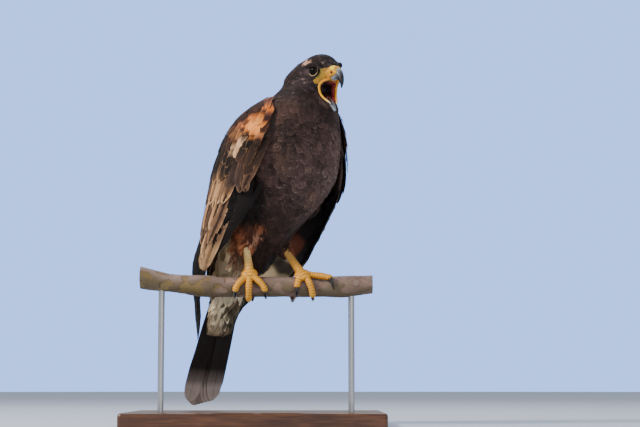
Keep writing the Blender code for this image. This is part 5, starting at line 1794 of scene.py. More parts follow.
@dataclass
class Tail:
    """Twelve tail feathers in a folded fan, the middle pair uppermost."""

    root: tuple[float, float, float] = (-80.0, -8.0, 72.0)
    tip: tuple[float, float, float] = (-164.2, -15.4, -152.4)
    feather_width: float = 27.0
    half_spread: float = 18.0
    pairs: int = 6
    step: float = 2.2
    layer: float = 2.1
    dark: str = "#241b17"
    band: str = "#c4b6ae"

    def build(self, material: bpy.types.Material) -> bpy.types.Object:
        """Lay the tail feathers.

        Args:
            material: Feather material.

        Returns:
            The finished piece, which stands for the tail's solid.
        """
        coat = Coat("tail_feathers", 70)
        random = coat.random
        root, tip = np.array(self.root), np.array(self.tip)
        length = float(np.linalg.norm(tip - root))
        along = (tip - root) / length
        left = unit(np.array((0.0, 1.0, 0.0)) - along * along[1])
        back = np.cross(left, along)
        pair = np.repeat(np.arange(self.pairs), 2)
        side = np.tile((-1.0, 1.0), self.pairs)
        count = len(pair)
        layer = pair + np.where(side > 0, 0.5, 0.0)
        shares = np.array((0.0, 0.12, 0.25, 0.4, 0.55, 0.7, 0.8, 0.88, 0.92, 0.955, 0.98, 1.0))
        widths = np.interp(shares, (0, 0.25, 0.6, 0.88, 0.94, 0.975, 1), (0.4, 0.8, 1, 0.98, 0.86, 0.6, 0.2))
        reach = length - self.step * pair
        aside = side * (0.8 + self.half_spread * pair / (self.pairs - 1))
        edge = np.linspace(-1, 1, 7)
        spread = aside[:, None] * (0.35 + 0.65 * shares)
        wave = 1 + 0.04 * random.standard_normal((count, len(shares), 7))
        half = self.feather_width / 2 * widths[None, :, None] * edge * wave
        drop = self.layer * layer[:, None, None] + np.abs(edge) * 0.8 * np.ones((count, len(shares), 1))
        base = root + along * (reach[:, None] * shares)[..., None] + left * spread[..., None]
        top = base[:, :, None, :] + left * half[..., None] - back * drop[..., None]
        under = base - back * (self.layer * layer[:, None] + 0.75)[..., None]
        rows = ramp(shares, 0.865, 0.9)[None, :, None] * np.ones((count, 1, 1))
        tint = linear(self.dark) * (1 - rows) + linear(self.band) * rows
        rim = np.concatenate([linear("#3a2c24") * (1 - rows) + linear("#dccfc8") * rows,
                              0.12 + 0.1 * rows], axis=-1)
        patch = np.column_stack([0.3 + 0.4 * (aside / 40 + 0.5), 0.2 + 0.01 * pair])
        coat.add(Vanes(BIRD.out(top), BIRD.out(under), tint, rim, reach, patch, shares))
        self.coverts(coat, root, along, left, back)
        return coat.make(material, "tail_plumage", ("tail",))

    def coverts(self, coat: Coat, root: Array, along: Array, left: Array, back: Array) -> None:
        """Lay the coverts above and below the tail's root, over the quills.

        Args:
            coat: Piece that gets them.
            root: Root of the tail in the bird's frame.
            along: Direction of the tail.
            left: Its left.
            back: Its upper side.
        """
        random = coat.random
        shares = np.array(FLIGHT.shares)
        # The lower rows' beige is the undertail's pale buff darkened with painted shade.
        for above, count, start, end, width, colour, fringe in (
                (False, 9, 62, 118, 17, "#7d6b52", "#d5c4a2"), (False, 9, 46, 98, 18, "#a18c69", "#ddcba8"),
                (False, 8, 30, 74, 18, "#94805f", "#d6c6a4"), (False, 8, 14, 54, 18, "#a08b69", "#dccca8"),
                (True, 8, 34, 82, 19, "#4a382c", "#e8dcc4"), (True, 8, 16, 62, 19, "#e6dac2", "#f2e8d3"),
                (True, 8, -4, 40, 19, "#3d2c22", "#7b553a")):
            part = np.linspace(-1, 1, count)
            ragged = 2.5 if above else 6.0
            reach = end * (1 - 0.16 * part ** 2) + ragged * random.standard_normal(count)
            place = start + (reach[:, None] - start) * shares
            round_ = part[:, None] * (27 - 9 * shares[None, :])
            thick = 19.0 - 13.0 * np.clip(place / 118, 0, 1)
            drop = thick * np.sqrt(np.clip(1 - (round_ / 40) ** 2, 0.05, 1))
            sign = 1.0 if above else -1.0
            level = np.where(above, 1.0, -13.5)
            height = level + sign * drop * 0.5
            rise = sign * (-2.5 + 3.5 * shares)
            edge = np.linspace(-1, 1, 7)
            half = width / 2 * np.array(FLIGHT.widths)[None, :, None] * edge
            middle = root + along * place[..., None] + left * round_[..., None] + back * (height + rise)[..., None]
            lean = -sign * 0.35 * part[:, None, None] * half
            top = middle[:, :, None, :] + left * half[..., None] \
                + back * (lean - sign * 0.05 * np.abs(half))[..., None]
            under = middle - back * sign * 0.6
            if not above:
                top = top[:, :, ::-1]
            tint = np.repeat(linear(colour)[None], count, axis=0)
            # Painted shadow: the lower rows darken by up to 82 per cent across one side of the fan.
            painted_shadow = 1 - 0.82 * ramp(part, 0.1, 0.45)[:, None] * (not above)
            tint = tint * (0.7 + 0.5 * random.random((count, 1))) * painted_shadow
            rim = np.column_stack([linear(fringe)[None] * painted_shadow, np.full(count, 0.3)])
            patch = np.column_stack([0.5 + 0.2 * part, np.full(count, 0.3 + 0.001 * start)])
            streak = np.full((count, 1), 0.85) * (random.random((count, 1)) < 0.7) * np.ones((1, len(shares)))
            coat.add(Vanes(BIRD.out(top), BIRD.out(under), tint, rim, np.full(count, float(end - start)),
                           patch, shares, streak))


# Head parts

def leaning_rings(rows: Rows, start: float, end: float, count: int, sides: int,
                  shape: Callable[[Array, Array], Array] | None = None) -> list[Array]:
    """Return rings of a bent horn in the head's frame.

    Args:
        rows: Middle X and Z, half width, half height and lean of each slice.
        start: Share along the horn of the first ring.
        end: Share of the last ring.
        count: Number of rings.
        sides: Points a ring.
        shape: Optional growth in millimetres from a share and the ring's angles.

    Returns:
        Rings of points in millimetres.
    """
    keyed = Profile([(index / (len(rows) - 1), *row) for index, row in enumerate(rows)])
    turn = np.linspace(0, 2 * math.pi, sides, endpoint=False)
    across, up = bulge(turn, 2.2)
    rings = []
    for share in np.linspace(start, end, count):
        x, z, width, height, lean = keyed.at(share)
        grow = shape(share, turn) if shape else 0.0
        flat = np.column_stack([np.zeros(sides), across * (width + grow), up * (height + grow)])
        matrix = np.array(Matrix.Rotation(math.radians(lean), 3, "Y"))
        rings.append(flat @ matrix.T + (x, 0, z))
    return rings


@dataclass
class Bill:
    """The hooked bill with its cere, the rims of the gape and the tongue."""

    upper: Rows = ((16, -1.5, 12.6, 10.8, 0), (21, -1.5, 10.6, 10.2, 2), (26, -2.2, 8.6, 9.4, 8),
                   (31, -3.6, 7, 8.2, 18), (36, -6.2, 5.4, 6.4, 36), (40, -11, 3.8, 4.6, 60),
                   (41.8, -17.6, 2.4, 2.9, 82), (40.9, -24.4, 0.7, 0.8, 98))
    lower: Rows = ((14, -34.5, 5.8, 3, 46), (18.4, -39.8, 4.6, 3, 52), (22.6, -45.2, 3.0, 2.6, 57),
                   (25.6, -50.4, 1.4, 1.5, 62))
    tongue: Rows = ((5, -24.5, 2.6, 1.5, 34), (10, -28.6, 4, 1.8, 42), (14, -32.8, 3.4, 1.6, 48),
                    (17.4, -37.4, 1.4, 0.8, 54))
    gape: Rows = ((26, 6.6, -10), (18.4, 11.2, -11.6), (13.4, 13.8, -15.6), (12.2, 14, -21),
                  (13, 12.6, -27.6), (16, 10.8, -32.6), (20.4, 8.2, -37.2), (24, 5.4, -41.4))
    gape_radius: float = 1.45
    cere_end: float = 0.52
    nostril: tuple[float, float, float] = (29.4, 7.7, -2.4)

    def horn(self, name: str, rings: list[Array], finish: Finish, slot: str,
             replaces: Sequence[str], first: float = 0.0) -> bpy.types.Object:
        """Make a horn piece coloured along its length.

        Args:
            name: Name of the piece.
            rings: Its rings in the head's frame.
            finish: Its finish.
            slot: Not used.
            replaces: Solids that it stands for.
            first: Value of the colouring at the first ring.

        Returns:
            The piece.
        """
        sides = len(rings[0])
        mesh = mesh_of(skinned([HEAD.out(ring) for ring in rings]), name, 50)
        along = np.repeat(np.linspace(first, 1, len(rings)), sides)
        put(mesh, "along", "FLOAT", along)
        return finished(name, mesh, [finish.make()], replaces)

    def build(self) -> None:
        """Make every part of the bill."""
        def ridge(share: float, turn: Array) -> Array:
            """Pinch the cutting edges and keep a rounded ridge on top."""
            low = np.clip(-np.sin(turn), 0, 1)
            hidden = 0.3 + 2.6 * ramp(np.sin(turn), -0.75, -0.5) * (share < 0.45) if share < self.cere_end else 0.0
            return -0.5 * low * np.abs(np.cos(turn)) + 0.15 * np.clip(np.sin(turn), 0, 1) ** 8 - hidden

        upper = leaning_rings(self.upper, self.cere_end - 0.24, 1.0, 56, 40, ridge)
        self.horn("bill_upper_horn", upper, HornFinish(
            "bill_keratin", 0.42, 0.35, coat=0.05,
            stops=((0.0, "#9aa0a3"), (0.32, "#858d94"), (0.48, "#4c525b"), (0.64, "#1b1c21"),
                   (1.0, "#0a0a0c"))), "bill_horn", ("bill_upper",))
        lower = leaning_rings(self.lower, 0.0, 1.0, 26, 36)
        self.horn("bill_lower_horn", lower, HornFinish(
            "mandible_keratin", 0.32, 0.5, coat=0.1,
            stops=((0.0, "#2e1717"), (0.35, "#4b3436"), (0.6, "#5c656f"), (0.85, "#76828f"), (1.0, "#8b97a3"))),
            "bill_horn", ("bill_lower",))
        tongue = leaning_rings(self.tongue, 0.0, 1.0, 18, 24)
        self.horn("tongue_flesh", tongue, HornFinish(
            "tongue_flesh", 0.35, 0.5, coat=0.3, stops=((0.0, "#2a1010"), (0.6, "#451c1c"), (1.0, "#6a3030"))),
            "tongue", ("tongue",))
        self.cere()

    def cere(self) -> None:
        """Make the soft cere with its nostrils and the rims of the gape."""
        skin = SkinFinish("waxy_cere", 0.5, 0.3, coat=0.04, crease=1.3).make()
        rings = leaning_rings(self.upper, 0.0, self.cere_end, 44, 56)
        points = np.concatenate(rings)
        centre = np.repeat(np.array([ring.mean(0) for ring in rings]), 56, axis=0)
        out = unit(points - centre)
        share = np.repeat(np.linspace(0, 1, 44), 56)
        tint = np.repeat(linear("#c98f08")[None], len(points), axis=0)
        shallow = ramp(points[:, 2], -3, -8)
        tint = shade(tint, "#c08a2a", shallow)
        tint = shade(tint, "#8a6416", ramp(clouds(points, 2.6, 2.0), 0.1, 0.7) * 0.5)
        grow = 0.7 * ramp(share, 0.35, 0.75) * ramp(share, 1.0, 0.86) * ramp(points[:, 2], -4, 5)
        for sign in (-1, 1):
            hole = np.hypot((points[:, 0] - self.nostril[0]) / 1.0,
                            (points[:, 2] - self.nostril[2]) / 1.45)
            hole = np.where(points[:, 1] * sign > 0, hole, 99.0)
            knob = np.linalg.norm(points - (29.6, sign * 4.4, 3.2), axis=1)
            grow = grow + 1.3 * np.exp(-(knob / 2.9) ** 2)
            tint = shade(tint, "#ffe016", ramp(knob, 4.6, 3.0))
            tint = shade(tint, "#e39a1c", ramp(hole, 3.8, 2.0) * ramp(knob, 3.0, 4.4))
            grow = grow + 0.35 * np.exp(-((hole - 2.5) / 0.8) ** 2)
            grow = grow - 2.6 * ramp(hole, 1.9, 0.9)
            # Painted shade inside the nostril.
            tint = shade(tint, "#3a2a10", ramp(hole, 1.9, 1.2))
        grow = grow - 0.5 * ramp(share, 0.97, 1.0)
        points = points + out * grow[:, None]
        height = np.tile(np.sin(np.linspace(0, 2 * math.pi, 56, endpoint=False)), 44)
        slant = np.clip(2.5 + 4.66 * height - 8.66 * height ** 2, -6.0, 3.0) * ramp(share, 0.55, 1.0)
        points = points + slant[:, None] * np.array((0.88, 0.0, -0.47))
        shaped = points.reshape(44, 56, 3)
        mesh = mesh_of(skinned([HEAD.out(ring) for ring in shaped]), "cere_skin", 60)
        put(mesh, "tint", "FLOAT_COLOR", np.column_stack([tint, np.ones(len(tint))]))
        finished("cere_skin", mesh, [skin], ("cere",))
        for side in Side:
            narrow, thick = (0.87, 1.2) if side is Side.LEFT else (1.0, 1.0)
            rows = [(x, side.value * y * narrow, z) for x, y, z in self.gape]
            line = smooth_line(rows, 60)
            self.lining(side, rows, skin)
            part = np.linspace(0, 1, 60)
            radii = self.gape_radius * thick * (1.08 - 0.25 * part + 0.05 * np.sin(part * 40)) \
                * np.minimum(1.0, 0.35 + 8 * np.minimum(part, 1 - part))
            rings = tube_rings(line, radii, 20)
            name = f"gape_{side.name.lower()}"
            mesh = mesh_of(skinned([HEAD.out(ring) for ring in rings]), name, 60)
            colour = np.repeat(linear("#f0ab06")[None], 60, axis=0)
            colour = shade(colour, "#eecb78", ramp(part, 0.72, 0.9))
            colour = shade(colour, "#e9dfcf", ramp(part, 0.86, 1.0))
            colour = shade(colour, "#d98a24", ramp(part, 0.3, 0.1))
            colour = np.repeat(colour, 20, axis=0)
            put(mesh, "tint", "FLOAT_COLOR", np.column_stack([colour, np.ones(len(colour))]))
            finished(name, mesh, [skin])


    def lining(self, side: Side, rows: Rows, skin: bpy.types.Material) -> None:
        """Make the soft fold of the cheek inside a rim of the gape.

        Args:
            side: Side of the head.
            rows: Line of the rim.
            skin: Its skin.
        """
        name = f"mouth_lining_{side.name.lower()}"
        line = smooth_line([(x - 2.6, y * 0.8, z - 0.4) for x, y, z in rows[1:-1]], 30)
        rings = tube_rings(line, np.full(30, 2.9), 18)
        mesh = mesh_of(skinned([HEAD.out(ring) for ring in rings]), name, 60)
        # Painted shade: the right lining is near black, while the left keeps the red colour of the flesh.
        tone = "#7f2823" if side is Side.LEFT else "#190c0c"
        put(mesh, "tint", "FLOAT_COLOR", np.repeat(np.array([colour4(tone)]), len(mesh.vertices), axis=0))
        finished(name, mesh, [skin])


@dataclass
class Eyes:
    """Both eyes: the balls under their corneas, and the lids."""

    ring: float = 6.6
    lip: float = 0.8
    lift: float = 4.5
    cornea: float = 0.55

    def build(self) -> None:
        """Make both eyes."""
        eye = EyeFinish("eye_cornea", 0.2, 0.1, coat=0.02).make()
        lid = SkinFinish("eyelid_skin", 0.42, 0.45, crease=0.7).make()
        for side in Side:
            self.ball(side, eye)
            self.lid(side, lid)

    def ball(self, side: Side, material: bpy.types.Material) -> None:
        """Make one eyeball with its cornea bulging over the iris."""
        name = f"eyeball_{side.name.lower()}"
        bm = bmesh.new()
        bmesh.ops.create_uvsphere(bm, u_segments=48, v_segments=40, radius=EYE_RADIUS)
        ring, around = [], []
        for vert in bm.verts:
            place = np.array(vert.co)
            angle = math.acos(max(-1.0, min(1.0, place[2] / EYE_RADIUS)))
            ring.append(angle / math.pi)
            around.append(math.atan2(place[1], place[0]) / (2 * math.pi) + 0.5)
            swell = self.cornea * math.exp(-((angle / 0.48) ** 4))
            vert.co = Vector(place * (1 + swell / EYE_RADIUS))
        bmesh.ops.transform(bm, matrix=metres(eye_matrix(side)) @ Matrix.Scale(MM, 4), verts=bm.verts)
        mesh = mesh_of(bm, name, 80)
        put(mesh, "along", "FLOAT", np.array(ring))
        put(mesh, "around", "FLOAT", np.array(around))
        finished(name, mesh, [material], (f"eye_{side.name.lower()}",))

    def lid(self, side: Side, material: bpy.types.Material) -> None:
        """Make the ring of lids, thicker and paler below."""
        name = f"eyelids_{side.name.lower()}"
        around, across = 72, 20
        turn = np.linspace(0, 2 * math.pi, around, endpoint=False)
        roll = np.linspace(0, 2 * math.pi, across, endpoint=False)
        lower = 0.5 + 0.5 * np.cos(turn - np.pi * 0.0)
        lip = self.lip * (1.0 + 0.12 * np.cos(turn * 9) * 0.2)
        bm = bmesh.new()
        row = list(bmesh.ops.create_circle(bm, segments=across, radius=1.0)["verts"])
        rings = []
        for index in range(around):
            out = np.array((math.cos(turn[index]), math.sin(turn[index]), 0.0))
            reach = self.ring + lip[index] * np.cos(roll)
            high = self.lift + lip[index] * (0.8 + 0.3 * lower[index]) * np.sin(roll)
            rings.append(out[None] * reach[:, None] + np.array((0, 0, 1.0))[None] * high[:, None])
        first = row
        for vert, point in zip(row, rings[0]):
            vert.co = point
        for ring in rings[1:]:
            edges = [bm.edges.get((a, b)) for a, b in zip(row, row[1:] + row[:1])]
            made = bmesh.ops.extrude_edge_only(bm, edges=edges)["geom"]
            fresh = {item for item in made if isinstance(item, bmesh.types.BMVert)}
            after = []
            for vert, point in zip(row, ring):
                beside = next(edge.other_vert(vert) for edge in vert.link_edges
                              if edge.other_vert(vert) in fresh)
                beside.co = point
                after.append(beside)
            row = after
        ends = [bm.edges.get((a, b)) for loop in (row, first) for a, b in zip(loop, loop[1:] + loop[:1])]
        bmesh.ops.bridge_loops(bm, edges=ends)
        bmesh.ops.transform(bm, matrix=metres(eye_matrix(side)) @ Matrix.Scale(MM, 4), verts=bm.verts)
        mesh = mesh_of(bm, name, 80)
        place = HEAD.back(read_points(mesh))
        down = ramp(place[:, 2], EYE_PLACE[2] - 1.5, EYE_PLACE[2] - 4.5)
        ridge = ramp(roll_height(mesh, side), 0.1, 0.7)
        tint = np.repeat(linear("#140f0c")[None], len(place), axis=0)
        tint = shade(tint, "#94805f", down * ridge)
        tint = shade(tint, "#3d3818", ramp(place[:, 0], 12, 15) * (1 - down) * 0.6)
        put(mesh, "tint", "FLOAT_COLOR", np.column_stack([tint, np.ones(len(tint))]))
        finished(name, mesh, [material])


def roll_height(mesh: bpy.types.Mesh, side: Side) -> Array:
    """Return how far each point of a lid faces along the line of sight."""
    sight = np.array(metres(eye_matrix(side)).to_3x3())[:, 2]
    return read_normals(mesh) @ sight


# Legs

def on_branch(place: Array, angle: Array, radius: Array) -> Array:
    """Return points round the branch at angles in degrees from its top, in millimetres."""
    turn = np.radians(angle)
    return np.stack([place, PERCH_SET_BACK - radius * np.sin(turn), PERCH_HEIGHT + radius * np.cos(turn)], -1)


@dataclass
class Foot:
    """A leg below its feathers: scaled tarsus, toes round the branch, and claws."""

    side: Side
    place: tuple[float, float, float]
    ankle: tuple[float, float, float]
    toes: dict[str, tuple[float, float, float, float, float]]
    turn: float
    toe: float = 4.4
    claw: float = 2.5
    voxel: float = 0.55

    def lines(self) -> list[tuple[Array, Array, str]]:
        """Return the middle lines with their radii, the tarsus first."""
        foot = BIRD.out(np.array(self.place)) / MM
        ankle = BIRD.out(np.array(self.ankle)) / MM
        top = on_branch(foot[0], np.array(self.turn), np.array(PERCH_RADIUS + 6.0))
        steps = np.linspace(0, 1, 60)[:, None]
        radii = Profile([(0, 6.4), (0.3, 4.9), (0.65, 4.5), (1.0, 5.9)]).at(steps[:, 0])[:, 0]
        lines = [(top + (ankle - top) * steps, radii, "tarsus")]
        for name, (start, end, first, last, _) in self.toes.items():
            share = np.linspace(0, 1, 12)
            ring = PERCH_RADIUS * 1.01 + self.toe + 0.3
            points = on_branch(foot[0] + start + (end - start) * np.sin(share * math.pi / 2),
                               first + (last - first) * share, np.full(12, ring))
            root = top + (points[0] - top) * 0.2
            line = smooth_line([root, *points], 60)
            size = 1.1 if name == "hind" else 1.0
            part = np.linspace(0, 1, 60)
            swell = 1.0 - 0.12 * part + 0.05 * np.cos(part * 15)
            end_ = np.sqrt(np.clip(1 - ((part - 0.9) / 0.1).clip(0, 1) ** 2 * 0.5, 0.2, 1))
            lines.append((line, self.toe * size * swell * end_, name))
        return lines

    def build(self, skin: bpy.types.Material, horn: bpy.types.Material) -> None:
        """Make the leg's skin and its four claws.

        Args:
            skin: Scaled leg skin.
            horn: Claw horn.
        """
        lines = self.lines()
        name = f"foot_{self.side.name.lower()}"
        forms = [skinned(tube_rings(line * MM, radii * MM, 28)) for line, radii, _ in lines]
        pad = Matrix.Translation(Vector(lines[0][0][0]) * MM) @ Matrix.Rotation(
            math.radians(self.turn), 4, "X")
        ball = bmesh.new()
        bmesh.ops.create_uvsphere(ball, u_segments=28, v_segments=16, radius=9.3 * MM)
        bmesh.ops.transform(ball, matrix=pad @ Matrix.Diagonal((1.15, 1.0, 0.7, 1.0)), verts=ball.verts)
        mesh = fused(name, [*forms, ball], self.voxel, 5)
        self.scales(mesh, lines)
        mesh.shade_smooth()
        finished(f"{name}_skin", mesh, [skin], (name,))
        for (line, radii, toe) in lines[1:]:
            self.claw_piece(toe, line, horn)

    def scales(self, mesh: bpy.types.Mesh, lines: list[tuple[Array, Array, str]]) -> None:
        """Raise the scutes along toes and tarsus, and colour them.

        Args:
            mesh: Smooth foot.
            lines: Middle lines with radii.
        """
        points = read_points(mesh) / MM
        normals = read_normals(mesh)
        best = np.full(len(points), 1e9)
        run = np.zeros(len(points))
        upward = np.zeros(len(points))
        shank = np.zeros(len(points), bool)
        axis_point = np.array((0.0, PERCH_SET_BACK, PERCH_HEIGHT))
        for line, radii, name in lines:
            steps = np.concatenate([[0], np.cumsum(np.linalg.norm(np.diff(line, axis=0), axis=1))])
            far = np.linalg.norm(points[:, None, :] - line[None], axis=2) - radii[None]
            near = far.argmin(1)
            value = far.min(1)
            way = np.gradient(line, axis=0)[near]
            offset = ((points - line[near]) * unit(way)).sum(1)
            closer = value < best
            best = np.where(closer, value, best)
            run = np.where(closer, steps[near] + offset, run)
            if name == "tarsus":
                out = unit(points - line[near])
                face = out @ np.array((0.15, -1.0, 0.0))
            else:
                out = unit(points - line[near])
                away = unit((line[near] - axis_point) * (0, 1, 1))
                face = (out * away).sum(1)
            upward = np.where(closer, face, upward)
            shank = np.where(closer, name == "tarsus", shank)
        pitch = np.where(shank, 4.6, 3.1)
        phase = (run / pitch) % 1.0
        groove = np.exp(-(np.minimum(phase, 1 - phase) / 0.13) ** 2)
        dorsal = ramp(upward, 0.25, 0.6)
        cells = np.array([noise.voronoi(Vector(p) * 0.62)[0][0] for p in points.tolist()])
        pebble = ramp(cells, 0.55, 0.15)
        lift = dorsal * (0.16 - 0.42 * groove) + (1 - dorsal) * (0.22 * pebble - 0.05)
        top = lines[0][0][0]
        blend_ = ramp(np.linalg.norm(points - top, axis=1), 7, 12)
        lift = lift * (0.35 + 0.65 * blend_)
        low = np.linalg.norm((points - axis_point) * (0, 1, 1), axis=1)
        lift = np.where(low < PERCH_RADIUS * 1.01 + 2.0, np.minimum(lift, 0), lift)
        moved = (points + normals * lift[:, None]) * MM
        mesh.vertices.foreach_set("co", moved.astype(np.float32).ravel())
        tint = np.repeat(linear("#e39a14")[None], len(points), axis=0)
        tint = shade(tint, "#efae2f", dorsal * (1 - groove))
        tint = shade(tint, "#b3690f", np.clip(dorsal * groove + (1 - dorsal) * (1 - pebble) * 0.5, 0, 1))
        # The upper tarsus gets a painted highlight, pale cream, on the right leg and painted shade, darker, on the
        # left leg.
        shank_highlight_and_shade = ramp(points[:, 2], 192, 232)
        tint = shade(tint, "#f5d490", shank_highlight_and_shade * (points[:, 0] < 27))
        tint = shade(tint, "#c99c58", shank_highlight_and_shade * (points[:, 0] >= 27))
        # Painted shade where the toes press on the bark.
        tint = shade(tint, "#8d5f17", ramp(low, PERCH_RADIUS + 3.5, PERCH_RADIUS + 0.5) * 0.6)
        put(mesh, "tint", "FLOAT_COLOR", np.column_stack([tint, np.ones(len(tint))]))
        mesh.update()

    def claw_piece(self, toe: str, line: Array, horn: bpy.types.Material) -> None:
        """Sweep one claw from the end of its toe.

        Args:
            toe: Name of the toe.
            line: The toe's middle line.
            horn: Claw horn.
        """
        _, _, _, last, length = self.toes[toe]
        way = unit(line[-1] - line[-3])
        step = (length + 2.0) / 24
        turn = np.array(Matrix.Rotation(math.radians(76 / 24) * (1 if last > 0 else -1), 3, "X"))
        points = [line[-1] - way * 2.0]
        for _ in range(24):
            points.append(points[-1] + way * step)
            way = turn @ way
        size = 1.1 if toe == "hind" else 1.0
        part = np.linspace(0, 1, 25)
        radii = self.claw * size * Profile([(0, 1.0), (0.17, 1.0), (0.33, 0.88), (0.5, 0.72),
                                            (0.67, 0.54), (0.84, 0.33), (1.0, 0.06)]).at(part)[:, 0]
        rings = tube_rings(np.array(points), radii, 18, np.array((1.0, 0.0, 0.0)))
        name = f"claw_{self.side.name.lower()}_{toe}"
        mesh = mesh_of(skinned([ring * MM for ring in rings]), name, 60)
        put(mesh, "along", "FLOAT", np.repeat(part, 18))
        finished(f"{name}_horn", mesh, [horn], (name,))


# Perch and stand

@dataclass
class Perch:
    """A cut length of smooth-barked branch."""

    rings: int = 220
    sides: int = 84
    level: float = 62.0
    patches: Rows = ((-85, 34, 3.3, 1.0), (-25, 12, 2.6, 0.4), (2, 10, 3.4, 0.5), (82, 22, 3.3, 0.6),
                     (130, 26, 3.0, 0.8), (-122, 12, 2.4, 0.4), (40, 14, 4.0, 0.5))

    def build(self) -> bpy.types.Object:
        """Make the branch with its flaking bark and sawn ends.

        Returns:
            The finished piece.
        """
        x = np.linspace(-PERCH_LENGTH / 2, PERCH_LENGTH / 2, self.rings)
        turn = np.linspace(0, 2 * math.pi, self.sides, endpoint=False)
        away = np.maximum(np.abs(x - BIRD_PLACE[0]) - self.level, 0.0)
        lift = 0.9 * MM * away ** 2
        swell = 1 + 0.09 * np.sin(74 * x * MM) * np.minimum(away / 30.0, 1.0)
        radius = PERCH_RADIUS * swell
        grid_x, grid_turn = np.meshgrid(x, turn, indexing="ij")
        flat = np.stack([grid_x / 24, np.cos(grid_turn) * 1.1, np.sin(grid_turn) * 1.1], -1).reshape(-1, 3)
        broad = np.array([noise.noise(Vector(p)) for p in flat.tolist()]).reshape(grid_x.shape)
        fine = np.array([noise.noise(Vector(p) * 4.1 + Vector((7, 3, 1))) for p in flat.tolist()])
        fine = fine.reshape(grid_x.shape)
        plate = np.array([noise.noise(Vector((p[0] * 1.7 + 9, p[1] * 1.2, p[2] * 1.2))) for p in flat.tolist()])
        plate = plate.reshape(grid_x.shape) + 0.10 * fine
        worn = np.full(grid_x.shape, -1.0)
        for middle, long, low, wide in self.patches:
            worn = np.maximum(worn, 1 - np.hypot((grid_x - middle) / long, (grid_turn - low) / wide))
        plate = 0.7 * plate - 0.05 + 0.3 * np.clip(worn, -0.3, 1.0)
        peel = ramp(plate, 0.02, 0.06)
        flake = np.exp(-((plate - 0.035) / 0.018) ** 2)
        relief = -0.45 - 0.5 * peel + 0.5 * broad + 0.16 * fine
        relief = np.minimum(relief, 0.05)
        reach = radius[:, None] + relief
        height = PERCH_HEIGHT + lift[:, None] + reach * np.sin(grid_turn)
        points = np.stack([grid_x, PERCH_SET_BACK + reach * np.cos(grid_turn), height], -1) * MM
        inner = []
        for index, share in ((0, (0.3, 0.7, 0.92)), (-1, (0.92, 0.7, 0.3))):
            middle = points[index].mean(0)
            inner.append([middle + (points[index] - middle) * part for part in share])
        rings = [*inner[0], *points, *inner[1]]
        mesh = mesh_of(skinned(rings), "perch_bark", 35)
        ends = np.zeros((3, self.sides))
        put(mesh, "peel", "FLOAT", np.concatenate([ends, peel, ends]).ravel())
        put(mesh, "flake", "FLOAT", np.concatenate([ends, flake * 0.7, ends]).ravel())
        put(mesh, "ochre", "FLOAT", np.concatenate([ends, ramp(grid_x + 30 * broad, -30, -52), ends]).ravel())
        under = ramp(np.sin(grid_turn) + 0.5 * broad, 0.55, -0.25)
        put(mesh, "under", "FLOAT", np.concatenate([ends, under, ends]).ravel())
        out = np.linalg.norm(np.concatenate(rings) - np.repeat(
            np.array([ring.mean(0) for ring in rings]), self.sides, axis=0), axis=1)
        put(mesh, "reach", "FLOAT", out)
        piece = finished("perch_bark", mesh, [BarkFinish("gum_bark", 0.72, 0.3).make(),
                                              CutWoodFinish("sawn_gum_wood", 0.7, 0.3).make()],
                         ("perch",))
        for face in mesh.polygons:
            if abs(face.normal.x) > 0.8:
                face.material_index = 1
        return piece


@dataclass
class Stand:
    """The plain stand, which keeps its solids."""

    def dress(self) -> None:
        """Give the base and rods their finishes."""
        wood = WoodFinish("stained_walnut", 0.42, 0.4, coat=0.25).make()
        steel = SteelFinish("brushed_steel", 0.28, 0.5, metallic=1.0).make()
        for name, material in (("stand_base", wood), ("stand_rod_left", steel), ("stand_rod_right", steel)):
            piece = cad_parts[name]
            piece.data.materials.clear()
            piece.data.materials.append(material)
            LOG.info("%s: dressed", name)


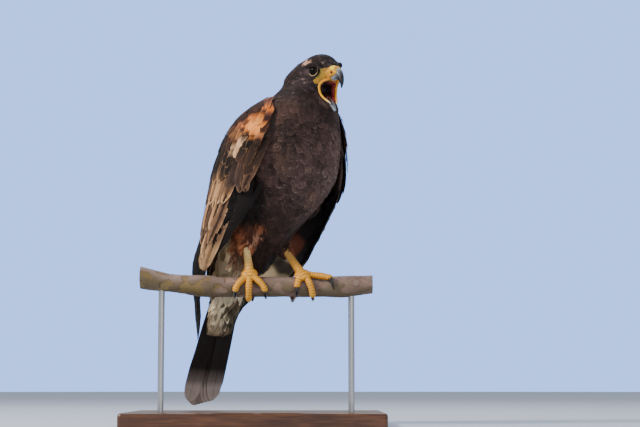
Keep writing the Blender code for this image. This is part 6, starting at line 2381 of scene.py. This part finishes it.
@dataclass
class Studio:
    """Floor, soft lights and the camera at the photo's angle."""

    distance: float = 2.0
    elevation: float = -6.4
    pixel: float = 1.3
    centre: tuple[float, float, float] = (0.0821, -0.012, 0.27355)

    @classmethod
    def seen(cls, points: Array) -> Array:
        """Return where the camera sees points, in pixels of a picture 640 wide."""
        tilt = math.radians(cls.elevation)
        away = np.asarray(points) - np.array(cls.centre)
        depth = away[:, 1] * math.cos(tilt) - away[:, 2] * math.sin(tilt)
        up = away[:, 2] * math.cos(tilt) + away[:, 1] * math.sin(tilt)
        scale = cls.distance / (cls.distance + depth) / (cls.pixel * MM)
        return np.stack([320 + away[:, 0] * scale, 213.5 - up * scale], axis=1)

    def build(self) -> None:
        """Make everything round the model."""
        bm = bmesh.new()
        bmesh.ops.create_circle(bm, cap_ends=True, segments=64, radius=12.0)
        mesh = mesh_of(bm, "floor")
        mesh.materials.append(FloorFinish("pale_floor", 0.9, 0.1).make())
        floor = bpy.data.objects.new("floor", mesh)
        bpy.context.scene.collection.objects.link(floor)
        self.light("key", (-2.1, -1.3, 1.9), 0.7, 105.0, "#ffeeda")
        self.light("fill", (1.0, -2.6, 0.9), 1.8, 15.0, "#fff2ea")
        self.light("top", (0.2, 1.2, 2.4), 1.6, 24.0, "#f3f4ff")
        world = bpy.data.worlds.new("studio")
        bpy.context.scene.world = world
        world.use_nodes = True
        tree = world.node_tree
        around = tree.nodes["Background"]
        around.inputs["Color"].default_value = colour4("#e2e4ea")
        around.inputs["Strength"].default_value = 0.7
        behind = node(tree, "Background", links={"Color": colour4("#8aaff5"), "Strength": 2.35})
        seen = node(tree, "LightPath").outputs["Is Camera Ray"]
        both = node(tree, "MixShader", links={0: seen, 1: around.outputs[0], 2: behind.outputs[0]})
        tree.links.new(both.outputs[0], tree.nodes["World Output"].inputs["Surface"])
        self.camera()

    def light(self, name: str, place: tuple[float, float, float], size: float, power: float,
              colour: str) -> None:
        """Add a soft square light that faces the model.

        Args:
            name: Name of the light.
            place: Where it stands, in metres.
            size: Side of its face, in metres.
            power: Watts.
            colour: Hex colour.
        """
        data = bpy.data.lights.new(name, "AREA")
        data.size = size
        data.energy = power
        data.color = tuple(linear(colour))
        lamp = bpy.data.objects.new(name, data)
        lamp.location = place
        lamp.rotation_euler = (Vector(self.centre) - Vector(place)).to_track_quat("-Z", "Y").to_euler()
        bpy.context.scene.collection.objects.link(lamp)

    def camera(self) -> None:
        """Stand the camera where the photo was taken from, looking slightly up."""
        data = bpy.data.cameras.new("camera")
        data.sensor_width = 36.0
        data.lens = 36.0 * self.distance / (640 * self.pixel * MM)
        data.clip_start = 0.01
        camera = bpy.data.objects.new("camera", data)
        tilt = math.radians(self.elevation)
        way = Vector((0.0, -math.cos(tilt), math.sin(tilt)))
        camera.location = Vector(self.centre) + way * self.distance
        camera.rotation_euler = (-way).to_track_quat("-Z", "Y").to_euler()
        bpy.context.scene.collection.objects.link(camera)
        bpy.context.scene.camera = camera


def main() -> None:
    """Build every piece in order."""
    logging.basicConfig(level=logging.INFO, format="%(name)s %(message)s")
    Studio().build()
    Stand().dress()
    Perch().build()
    wings = [Wing(side) for side in Side]
    skin = Body().build(wings)
    feathers = FeatherFinish("feather_keratin", 0.7, 0.18, sheen=0.02).make()
    BodyCoat(Hide(skin), feathers).build()
    for wing in wings:
        wing.build(feathers)
    Tail().build(feathers)
    Bill().build()
    Eyes().build()
    leg = SkinFinish("scaled_leg_skin", 0.4, 0.45, coat=0.05, crease=0.6).make()
    claw = HornFinish("claw_keratin", 0.25, 0.5, coat=0.3,
                      stops=((0.0, "#2c2725"), (0.3, "#191615"), (1.0, "#0d0c0c"))).make()
    Foot(Side.RIGHT, (-23, -27.6, 0), (-34, -31, 86), {
        "inner": (3, 20, 45, 112, 19), "middle": (0, -1, 50, 160, 19),
        "outer": (-3, -18, 45, 112, 17), "hind": (0, 3, -10, -110, 23)}, 34.0).build(leg, claw)
    Foot(Side.LEFT, (20.7, 24.7, 0), (-33, 15.4, 76), {
        "inner": (-3, -7, 48, 96, 19), "middle": (4, 13, 46, 136, 19),
        "outer": (8, 36, 34, 58, 17), "hind": (-3, -13, -28, -142, 23)}, 42.0).build(leg, claw)


if __name__ == "__main__":
    main()
